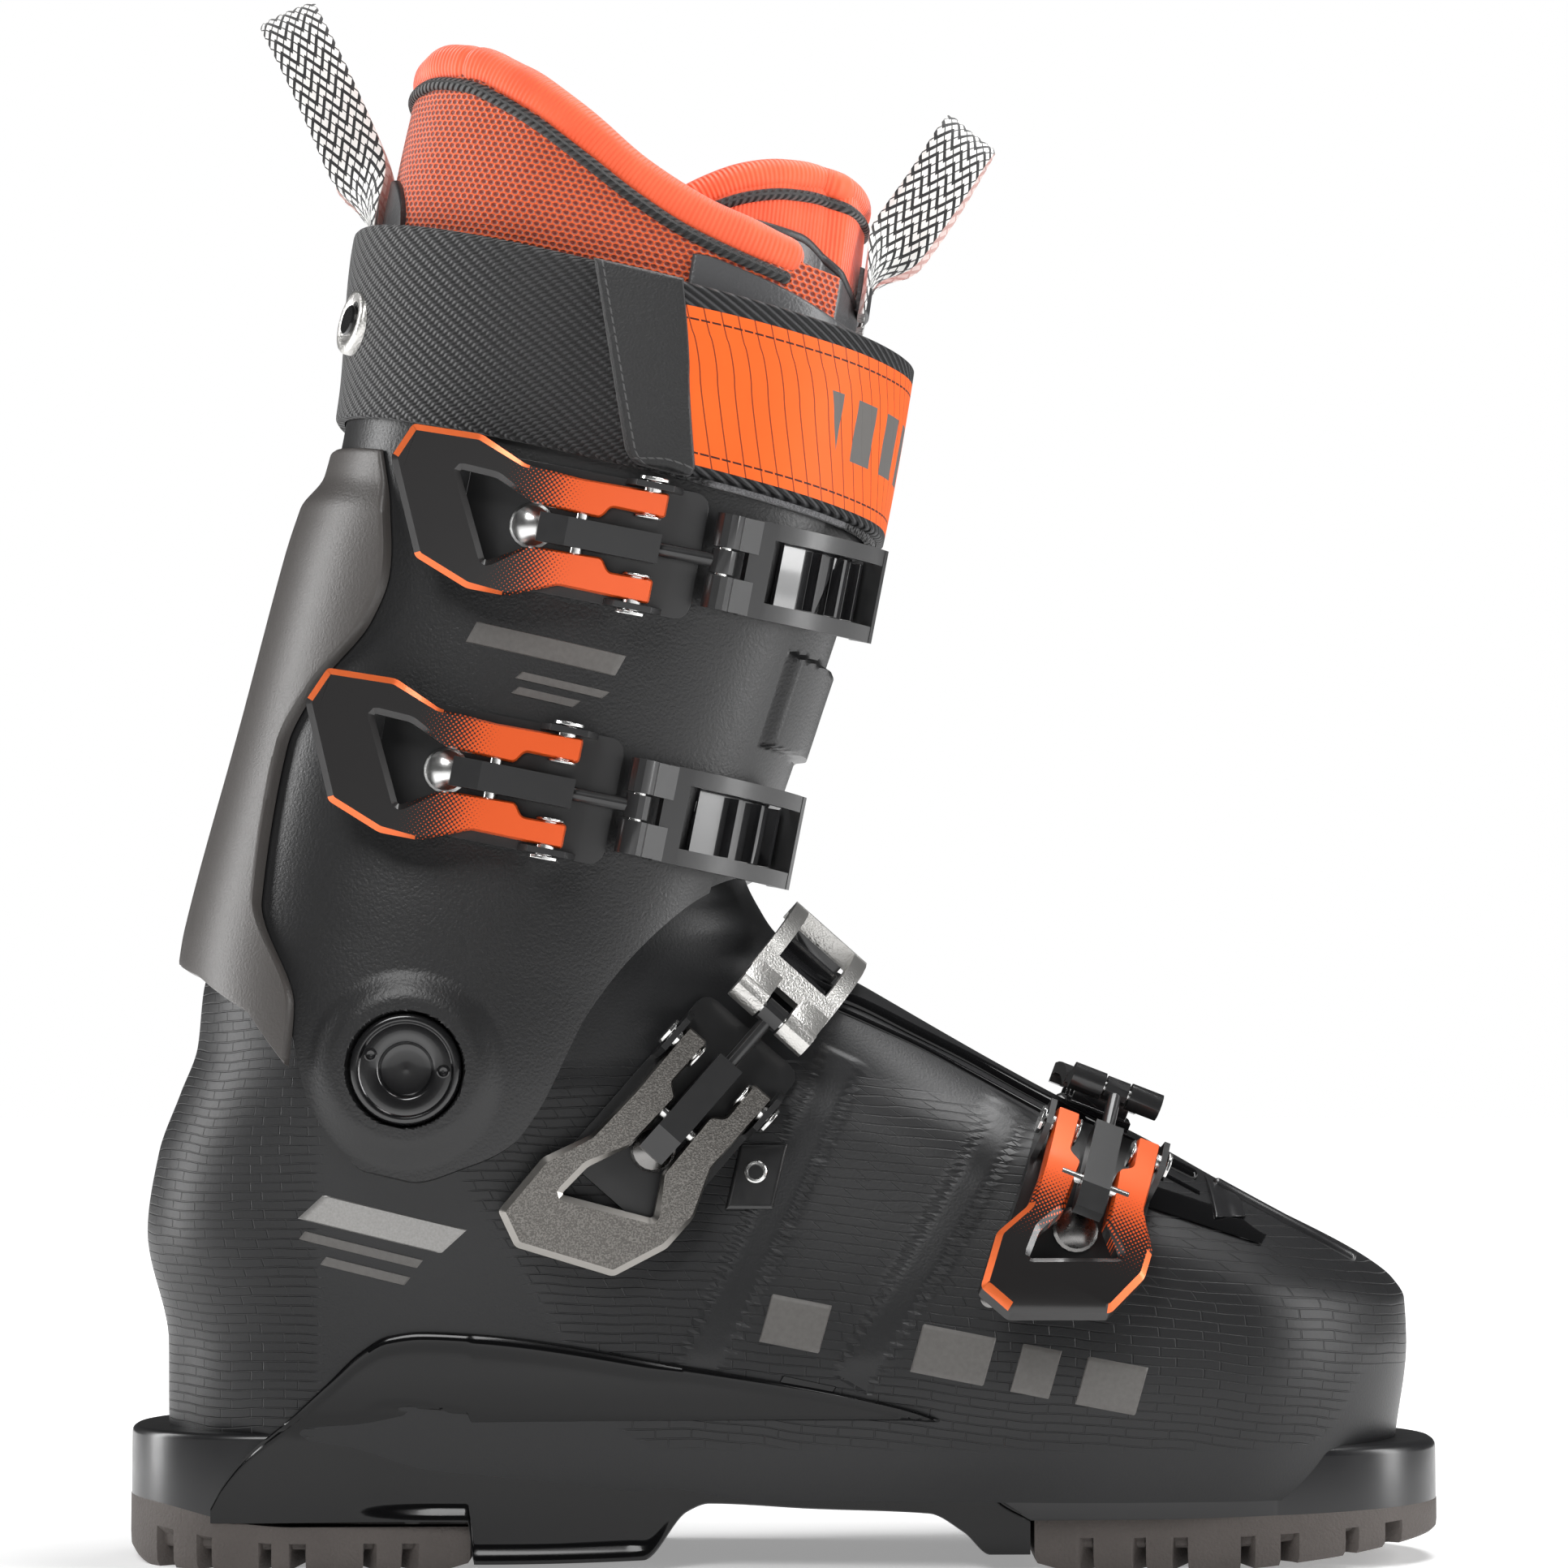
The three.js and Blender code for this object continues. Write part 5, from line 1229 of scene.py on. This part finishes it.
def outward_at(height, turn, inset):
    """Unit directions out of the leg's oval."""
    step = on_leg(height, turn, inset - 1.0) - on_leg(height, turn, inset)
    return step / np.linalg.norm(step, axis=-1, keepdims=True)


def even_turns(start, end, height_of, inset, count):
    """Turns from start to end at even distances along the line height_of(turn) on the leg."""
    dense = np.linspace(start, end, 3000)
    path = on_leg(height_of(dense), dense, inset)
    distance = walked(path)
    return np.interp(np.linspace(0, distance[-1], count), distance, dense)


COLLAR_INSET = SHAFT_INSET + SHAFT_THICK / 2
roll_turn = even_turns(math.radians(49), math.radians(311), collar_height, COLLAR_INSET, 460)
roll_height = collar_height(roll_turn)
roll_path = on_leg(roll_height, roll_turn, COLLAR_INSET)
seam_dip = 0.55 * np.exp(-(((roll_turn - math.radians(222)) / 0.022) ** 2))
seam_dip = seam_dip + 0.55 * np.exp(-(((roll_turn - math.radians(138)) / 0.022) ** 2))
plump = 1 + 0.03 * np.sin(9 * roll_turn) + 0.02 * np.sin(21 * roll_turn + 1)
collar_roll = swept(
    "collar_roll", roll_path, outward_at(roll_height, roll_turn, COLLAR_INSET),
    (COLLAR_RADIUS + 0.5) * plump - seam_dip, COLLAR_RADIUS * plump - seam_dip, smooth_knit, "cuff",
    "liner_orange", 2.3, 40,
)

braid = Finish("piping_braid", (0.012, 0.012, 0.013), 0.6, sheen_weight=0.2)
across, up, _ = braid.axes(braid.place(uv=True))
twist = ((across + up * 0.7) * (2 * math.pi / 0.0019)).one("SINE")
# The black braid's raised strands are painted lighter: a painted highlight along the strands.
braid.set("Base Color", braid.blend(twist.step(-0.3, 1.0), (0.003, 0.003, 0.003), (0.035, 0.035, 0.036)))
braid.bump(twist, 0.0005)


def piping_height(turn):
    """The piping's height: just under the collar roll."""
    return collar_height(turn) - 5.3


pipe_turn = even_turns(math.radians(55), math.radians(305), piping_height, 4.6, 600)
pipe_height = piping_height(pipe_turn)
pipe_path = on_leg(pipe_height, pipe_turn, 4.5)
swept("collar_piping", pipe_path, outward_at(pipe_height, pipe_turn, 4.5), 1.25, 1.5, braid, "cuff", "liner_orange",
      2.0, 18)

grey_leatherette = Finish("grey_patch", (0.075, 0.075, 0.078), 0.35, coat_weight=0.2, coat_roughness=0.2)
across, up, _ = grey_leatherette.axes(grey_leatherette.place(uv=True))
hide = grey_leatherette.noise(0.0008, 2.0)
grey_leatherette.bump(hide, 0.00015)
dark_patch = Finish("dark_patch", (0.028, 0.028, 0.030), 0.42, coat_weight=0.15, coat_roughness=0.3)
dark_patch.bump(dark_patch.noise(0.0008, 2.0), 0.00015)

side, rise = (2 * edge_spaced(70) - 1)[None, :], edge_spaced(60)[:, None]
tab_top = 186 + 17.5 * (1 - np.abs(side) ** 2.6) ** (1 / 2.6)
plate("rear_pull_tab", leg_surface, np.pi + side * (0.52 + 0.14 * (1 - rise)), 178 + (tab_top - 178) * rise, -4.9,
      -3.3, dark_patch, "cuff", "tongue_grey", 1.0)

patch_top = smooth_line([(14, 190), (17.8, 194.6), (24, 196), (33, 195), (43, 193.5), (58, 190)])
side, rise = edge_spaced(90)[None, :], edge_spaced(40)[:, None]
for name, sign in (("outer_shin_patch", -1), ("inner_shin_patch", 1)):
    patch_turn = sign * (math.radians(24) + side * math.radians(55))
    patch_edge = patch_top(leg_point(192.0, patch_turn, SHAFT_INSET)[..., 0])
    plate(name, leg_surface, patch_turn + 0 * rise, 172 + (patch_edge - 172) * rise, -4.9, -4.1, grey_leatherette,
          "cuff", "tongue_grey", 0.7)

# ---- Liner tongue ------------------------------------------------------------------------
# A padded plate of orange knit over the shin that the shaft's edges wrap. Its top is a stuffed
# roll over black piping, and a grey moulded plate with a black binding stiffens its front.

tongue_line = smooth_line([(0, 192), (6, 198), (12, 205.5), (20, 213.2), (28, 218.8), (36, 222.2), (44, 223.8),
                           (51, 223.4), (56, 221), (60, 217.5)])
TONGUE_REACH = math.radians(88)


def tongue_inset(turn, height):
    """How deep the tongue's outer face lies inside the leg's oval."""
    inside = SHAFT_INSET + liner_tuck(height) + SHAFT_THICK + 1
    return inside - 3 * (1 - ease(np.abs(turn), math.radians(26), math.radians(34)))


def tongue_top(turn):
    """The tongue's top edge, found from its side view outline by repetition."""
    height = 215.0 + 0 * turn
    for _ in range(12):
        height = tongue_line(leg_point(height, turn, tongue_inset(turn, height) + 3)[..., 0])
    return height


tongue_turn = np.linspace(-TONGUE_REACH, TONGUE_REACH, 260)[None, :]
tongue_edge = tongue_top(tongue_turn)
tongue_rows = []
for share in np.linspace(0, 1, 110):
    height = 52 + (tongue_edge - 52) * share
    puff = np.minimum(soft_wrinkles(tongue_turn, height, 0.4), 0.5) * ease(height, 170, 200)
    tongue_rows.append((height, tongue_inset(tongue_turn, height) - puff))
for share in np.linspace(1, 0, 50):
    height = 52 + (tongue_edge - 52) * share
    inner = SHAFT_INSET + liner_tuck(height) + SHAFT_THICK + 1 + 6.5
    puff = soft_wrinkles(tongue_turn + 0.5, height, 0.7) * ease(height, 150, 190)
    tongue_rows.append((height, inner + puff))
tongue_points = np.stack([on_leg(height, tongue_turn, inset)[0] for height, inset in tongue_rows])
round_mm = lengths_along(tongue_points, 1)
tongue_height = np.stack([(height + 0 * tongue_turn)[0] for height, _ in tongue_rows])
tongue = grid_piece("tongue_pad", tongue_points, smooth_knit, "cuff", "liner_orange", loop=True, close=True,
                    uv=(round_mm / 1000, tongue_height / 1000))
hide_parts("liner_tongue")


def tongue_swept(name, drop, deeper, half_out, half_up, finish, reach, count, ring):
    """A bar that follows the tongue's top edge, drop mm below it and deeper mm inside its skin."""
    inset_of = lambda turn: tongue_inset(turn, tongue_top(turn)) + deeper
    dense = np.linspace(-reach, reach, 2000)
    line = on_leg(tongue_top(dense) - drop, dense, inset_of(dense))
    distance = walked(line)
    turns = np.interp(np.linspace(0, distance[-1], count), distance, dense)
    heights = tongue_top(turns) - drop
    path = on_leg(heights, turns, inset_of(turns))
    return swept(name, path, outward_at(heights, turns, 12.0), half_out, half_up, finish, "cuff", "liner_orange",
                 2.2, ring)


tongue_roll = tongue_swept("tongue_roll", 0.6, 3.6, 4.4, 4.0, smooth_knit, math.radians(85), 340, 36)
tongue_swept("tongue_piping", 5.0, 0.1, 1.2, 1.35, braid, math.radians(76), 460, 16)

plate_top = smooth_line([(10, 190), (17.8, 195.4), (25, 203), (33.5, 207.8), (45, 208), (50.8, 205.7), (55, 201),
                         (58.8, 196)])
side, rise = (2 * edge_spaced(160) - 1)[None, :], edge_spaced(50)[:, None]
plate_turn = side * math.radians(70)
plate_edge = plate_top(leg_point(203.0, plate_turn, 11.3)[..., 0])
plate_height = 176 + (plate_edge - 176) * rise


def tongue_surface(turn, height, lift):
    """A point lift mm outside the tongue's outer face."""
    return on_leg(height, turn, tongue_inset(turn, height) - lift)


plate("tongue_plate", tongue_surface, plate_turn + 0 * rise, plate_height, -0.2, 1.0, grey_leatherette, "cuff",
      "tongue_grey", 0.7)
binding_turn = np.linspace(-math.radians(69), math.radians(69), 400)
binding_height = plate_top(leg_point(203.0, binding_turn, 11.3)[..., 0])
binding_path = tongue_surface(binding_turn, binding_height, 0.6)
swept("plate_binding", binding_path, outward_at(binding_height, binding_turn, 11.0), 0.9, 1.1, dark_patch, "cuff",
      "tongue_grey", 2.0, 14)

# ---- Pull loops --------------------------------------------------------------------------
# Webbing loops woven in a black and white herringbone, their back painted pale pink: the pink is
# painted orange light from the liner falling on it. The rear one pulls the liner on, and the front
# one, through its rubber keeper, pulls the tongue forward.

loop_web = Finish("loop_webbing", (0.7, 0.7, 0.7), 0.7, sheen_weight=0.3)
across, up, _ = loop_web.axes(loop_web.place(uv=True))
wave = ((across / 0.0046).one("FRACT") - 0.5).one("ABSOLUTE") * 2
chevron = ((up + wave * 0.0042) / 0.0036).one("FRACT")
broken = ((up - wave * 0.0042) / 0.0036).one("FRACT")
white = (chevron > 0.42) * (broken > 0.16)
liner_lit_face = loop_web.attribute("back")
front_color = loop_web.blend(white, (0.008, 0.008, 0.009), (0.80, 0.79, 0.77))
# The back is painted pale pink: painted light from the orange liner falling on the loop's inner face.
liner_bounce_back_color = loop_web.blend(white, (0.62, 0.40, 0.37), (0.80, 0.68, 0.65))
loop_web.set("Base Color", loop_web.blend(liner_lit_face, front_color, liner_bounce_back_color))
loop_web.bump(white + 0.4 * loop_web.noise(0.0005), 0.0004)


def pull_loop(name, node, side_points, across_at_top, flip):
    """A flat band along a smooth path: its ends lie across the leg, and its width turns towards
    across_at_top over the first and last quarter of its length."""
    half = np.array(side_points, float)
    other = half[:-1][::-1] * [1, -1, 1]
    knots = np.vstack([half, other])
    reach = np.concatenate([[0], np.cumsum(np.linalg.norm(np.diff(knots, axis=0), axis=1) ** 0.5)])
    lines = [smooth_line(np.column_stack([reach, knots[:, axis]])) for axis in range(3)]
    dense = np.linspace(0, reach[-1], 1500)
    line = np.stack([at(dense) for at in lines], -1)
    kernel = np.hanning(121)[1:-1]
    padded_line = np.concatenate([2 * line[:1] - line[60:0:-1], line, 2 * line[-1:] - line[-2:-62:-1]])
    soft = np.stack([np.convolve(padded_line[:, k], kernel / kernel.sum(), "same") for k in range(3)], -1)[60:-60]
    distance = walked(soft)
    even = np.linspace(0, distance[-1], 260)
    path = np.stack([np.interp(even, distance, soft[:, k]) for k in range(3)], -1)
    share = even / even[-1]
    twist = ease(np.minimum(share, 1 - share), 0.04, 0.24)[:, None]
    start_side = -np.sign(knots[0, 1]) * np.sign(0.5 - share)[:, None] * np.array([0, 1.0, 0])
    top_side = np.array(across_at_top, float) / np.linalg.norm(across_at_top)
    side = start_side + (top_side - start_side) * twist
    along = np.gradient(path, axis=0)
    along /= np.linalg.norm(along, axis=1, keepdims=True)
    out = np.cross(along, side)
    out /= np.linalg.norm(out, axis=1, keepdims=True)
    side = np.cross(out, along)
    u = np.concatenate([np.linspace(-1, 1, 13), np.linspace(1, -1, 13)])
    edge = np.sqrt(np.clip(1 - ((np.abs(u) - 0.9) / 0.1) ** 2 * (np.abs(u) > 0.9), 0.02, 1))
    v = np.concatenate([np.ones(13), -np.ones(13)]) * edge
    cup = 0.35 * (1 - u**2)
    ring = side[:, None] * (u * 7.25)[None, :, None] + out[:, None] * (v * 0.8 + cup)[None, :, None]
    points = to_boot(path[:, None] + ring)
    # back marks the face that is painted pink as the orange liner's light falling on it.
    back = np.concatenate([np.full(13, float(flip)), np.full(13, 1.0 - flip)])[None, :]
    made = grid_piece(
        name, points, loop_web, "cuff", "loop_webbing", around=True, close=True,
        uv=((u * 7.25 / 1000)[None, :] + 0.02 + 0 * even[:, None], even[:, None] / 1000 + 0 * u[None, :]), back=back,
    )
    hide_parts(node)
    return made


pull_loop(
    "rear_pull_loop", "rear_loop",
    [(-55.5, -9, 180.5), (-55.8, -9, 188), (-60, -9.5, 198), (-73, -10, 217), (-82.5, -9, 229), (-88, -5, 235.5),
     (-90, 0, 238)],
    (-0.8, 0, -0.6), False,
)
pull_loop(
    "front_pull_loop", "tongue_loop",
    [(60.9, -10, 196), (60.6, -10, 204), (65, -10, 216), (71, -9, 231), (75, -6, 243), (76.5, 0, 247)],
    (0.9, 0, -0.44), True,
)
side, rise = (2 * edge_spaced(50) - 1)[None, :], edge_spaced(30)[:, None]
plate("loop_keeper", tongue_surface, side * math.radians(13) + 0 * rise, 197 + 10.5 * rise + 0 * side, 1.1,
      3.0 + 0.6 * (1 - side**2), dark_patch, "cuff", "tongue_grey", 1.0)

# ---- Shell flap and small parts ----------------------------------------------------------
# Where the shell's two halves overlap, a gloss rail follows the edge of the upper half from the
# throat to the toe. A catch, a flap plate and a drilled tab sit beside it.


def shell_side(x, z, lift):
    """A point on the shell's outer side, lift mm off its skin."""
    return np.stack([x + 0 * z, shell_middle(x) - (shell_half_width(x, z) + lift), z + 0 * x], -1)


def ridge_height(x):
    """The height of the shell's top line at x, read back from its front line."""
    z = np.linspace(40, 165, 1200)
    return np.interp(-np.asarray(x, float), -shell_front(z), z)


def shell_swept(name, points, half_out, half_up, lift, finish, count=360, ring=18, ease_in=1.4):
    """A bar along side view (x, z) points on the shell's outer side, kept just under its ridge."""
    line = np.array(points, float)
    distance = walked(line)
    even = np.linspace(0, distance[-1], count)
    x = smooth_line(np.column_stack([distance, line[:, 0]]))(even)
    z = smooth_line(np.column_stack([distance, line[:, 1]]))(even)
    z = np.minimum(z, ridge_height(x) - ease_in)
    path = shell_side(x, z, lift)
    smoothing = np.hanning(25)[1:-1] / np.hanning(25).sum()
    for axis in range(3):
        wide = np.pad(path[:, axis], 11, mode="reflect", reflect_type="odd")
        path[:, axis] = np.convolve(wide, smoothing, "valid")
    out = shell_side(x, z, lift + 1.0) - shell_side(x, z, lift)
    out[:, 2] += 0.6
    out /= np.linalg.norm(out, axis=1, keepdims=True)
    return swept(name, path, out, half_out, half_up, finish, "shell", "gloss_black", 2.0, ring)


shell_swept("flap_rail", [(-3.5, 142.5), (-2, 140.2), (6.4, 133.3), (17.6, 128.8), (30.7, 122.2),
                          (43.8, 115.6), (58.3, 107.6), (77.4, 97.8), (96, 88.5)], 1.5, 1.9, 0.3, gloss_black)
shell_swept("flap_edge", [(-1, 138), (8, 130.2), (19, 125), (32, 119), (45, 112), (60, 103.8), (79, 94), (96, 85)],
            0.55, 0.8, 0.1, gloss_black)
shell_swept("toe_ridge", [(100, 87.5), (110, 82), (122, 75.5), (133, 69.5)], 1.4, 1.8, 0.0, lug_plastic, ease_in=1.0)

side, rise = edge_spaced(60)[None, :], edge_spaced(30)[:, None]
plate_x = 80 + 29 * side + 2.0 * rise
plate_z = 83.5 - 0.33 * (plate_x - 80) + 5.5 * rise * (1 - 0.5 * ease(side, 0.7, 1))
plate("flap_plate", shell_side, plate_x, plate_z, 0.0, 1.0, gloss_black, "shell", "gloss_black", 0.7)
catch_x = 98.5 + 8 * side + 0 * rise
catch_z = 80 + (ridge_height(catch_x) - 1.2 - 80) * rise
plate("flap_catch", shell_side, catch_x, catch_z, 0.0, 2.4 - 0.9 * np.exp(-(((side - 0.5) / 0.16) ** 2)), lug_plastic,
      "shell", "shell_black", 1.0)
tab_x = -13.5 + 11 * side + 0.25 * 14 * rise
plate("drilled_tab", shell_side, tab_x, 82 + 15 * rise + 0 * side, 0.0, 1.0, buckle_black, "shell", "buckle_black", 1.0)


def shell_stud(name, x, z, profile, finish, slot, count=40):
    """A small turned part on the shell's outer side; profile holds (radius, lift)."""
    centre = shell_side(np.float64(x), np.float64(z), 0.0)
    right = shell_side(np.float64(x + 1), np.float64(z), 0.0) - centre
    upward = shell_side(np.float64(x), np.float64(z + 1), 0.0) - centre
    out = np.cross(right, upward)
    out /= np.linalg.norm(out)
    right /= np.linalg.norm(right)
    rows = stud_rows(centre, out, right, profile, count)
    return grid_piece(name, rows, finish, "shell", slot, around=True, close=True)


shell_stud("tab_eyelet", -6.5, 90.5, [(0.02, 0.4), (2.6, 0.4), (2.6, 1.3), (2.3, 1.55), (1.9, 1.5), (1.6, 1.1),
           (1.5, 0.5), (0.02, 0.45)], steel, "steel")
shell_stud("toe_screw", 46.5, 62.5, [(0.02, -0.2), (2.2, -0.2), (2.2, 0.35), (1.8, 0.6), (0.9, 0.65), (0.8, 0.3),
           (0.02, 0.25)], dark_steel, "steel")

# ---- Printed marks -----------------------------------------------------------------------
# Plain bars and blocks pad-printed in grey and silver ink on the shell and the cuff. They carry
# no lettering.

grey_ink = Finish("grey_ink", (0.105, 0.10, 0.095), 0.45, specular_ior_level=0.4)
ink_wear = grey_ink.noise(0.0011, 2.0)
grey_ink.set("Base Color", grey_ink.blend(ink_wear, (0.085, 0.08, 0.076), (0.125, 0.12, 0.114)))
silver_ink = Finish("silver_ink", (0.26, 0.255, 0.25), 0.38, 0.6)
silver_grain = silver_ink.noise(0.0005)
silver_ink.set("Base Color", silver_ink.blend(silver_grain, (0.20, 0.195, 0.19), (0.33, 0.325, 0.315)))


def outer_leg(x, height, lift):
    """A point on the outer side of the cuff, by its x and height in the leg's frame."""
    turn = -turn_of(x, height, -lift)
    return on_leg(height, turn, -lift)


def printed(name, surface, corner, along, up, ink, body, slot):
    """A parallelogram of ink a tenth of a millimetre thick: its low rear corner and two sides."""
    across, rise = np.linspace(0, 1, 30)[None, :], np.linspace(0, 1, 16)[:, None]
    a = corner[0] + along[0] * across + up[0] * rise
    b = corner[1] + along[1] * across + up[1] * rise
    return plate(name, surface, a, b, -0.3, 0.3, ink, body, slot, 0.12)


printed("flank_block", shell_side, (-111.5, 80), (34, -8.1), (6.4, 5.8), silver_ink, "shell", "shell_black")
for row, (start, length) in enumerate(((-111, 28), (-106, 20))):
    printed(f"flank_line_{row}", shell_side, (start, 75.4 - 4.6 * row - 0.24 * (start + 111)),
            (length, -0.24 * length), (1.6, 2.0), grey_ink, "shell", "shell_black")
for number, (start, width) in enumerate(((-6, 14), (28, 17), (50.5, 9), (65, 14))):
    printed(f"side_bar_{number}", shell_side, (start, 51 - 0.19 * start), (width, -0.19 * width), (3.2, 11.5),
            grey_ink, "shell", "shell_black")
printed("side_tick", shell_side, (-2.5, 41.5), (12.5, -2.5), (2.2, 3.6), gloss_black, "shell", "gloss_black")
for row, (height, start, length, tall) in enumerate(((97, -10, 36, 5.5), (91.5, 3, 21, 2.0), (88, 3, 15, 2.0))):
    printed(f"cuff_bar_{row}", outer_leg, (start, height), (length, 0), (1.6, tall), grey_ink, "cuff", "cuff_black")
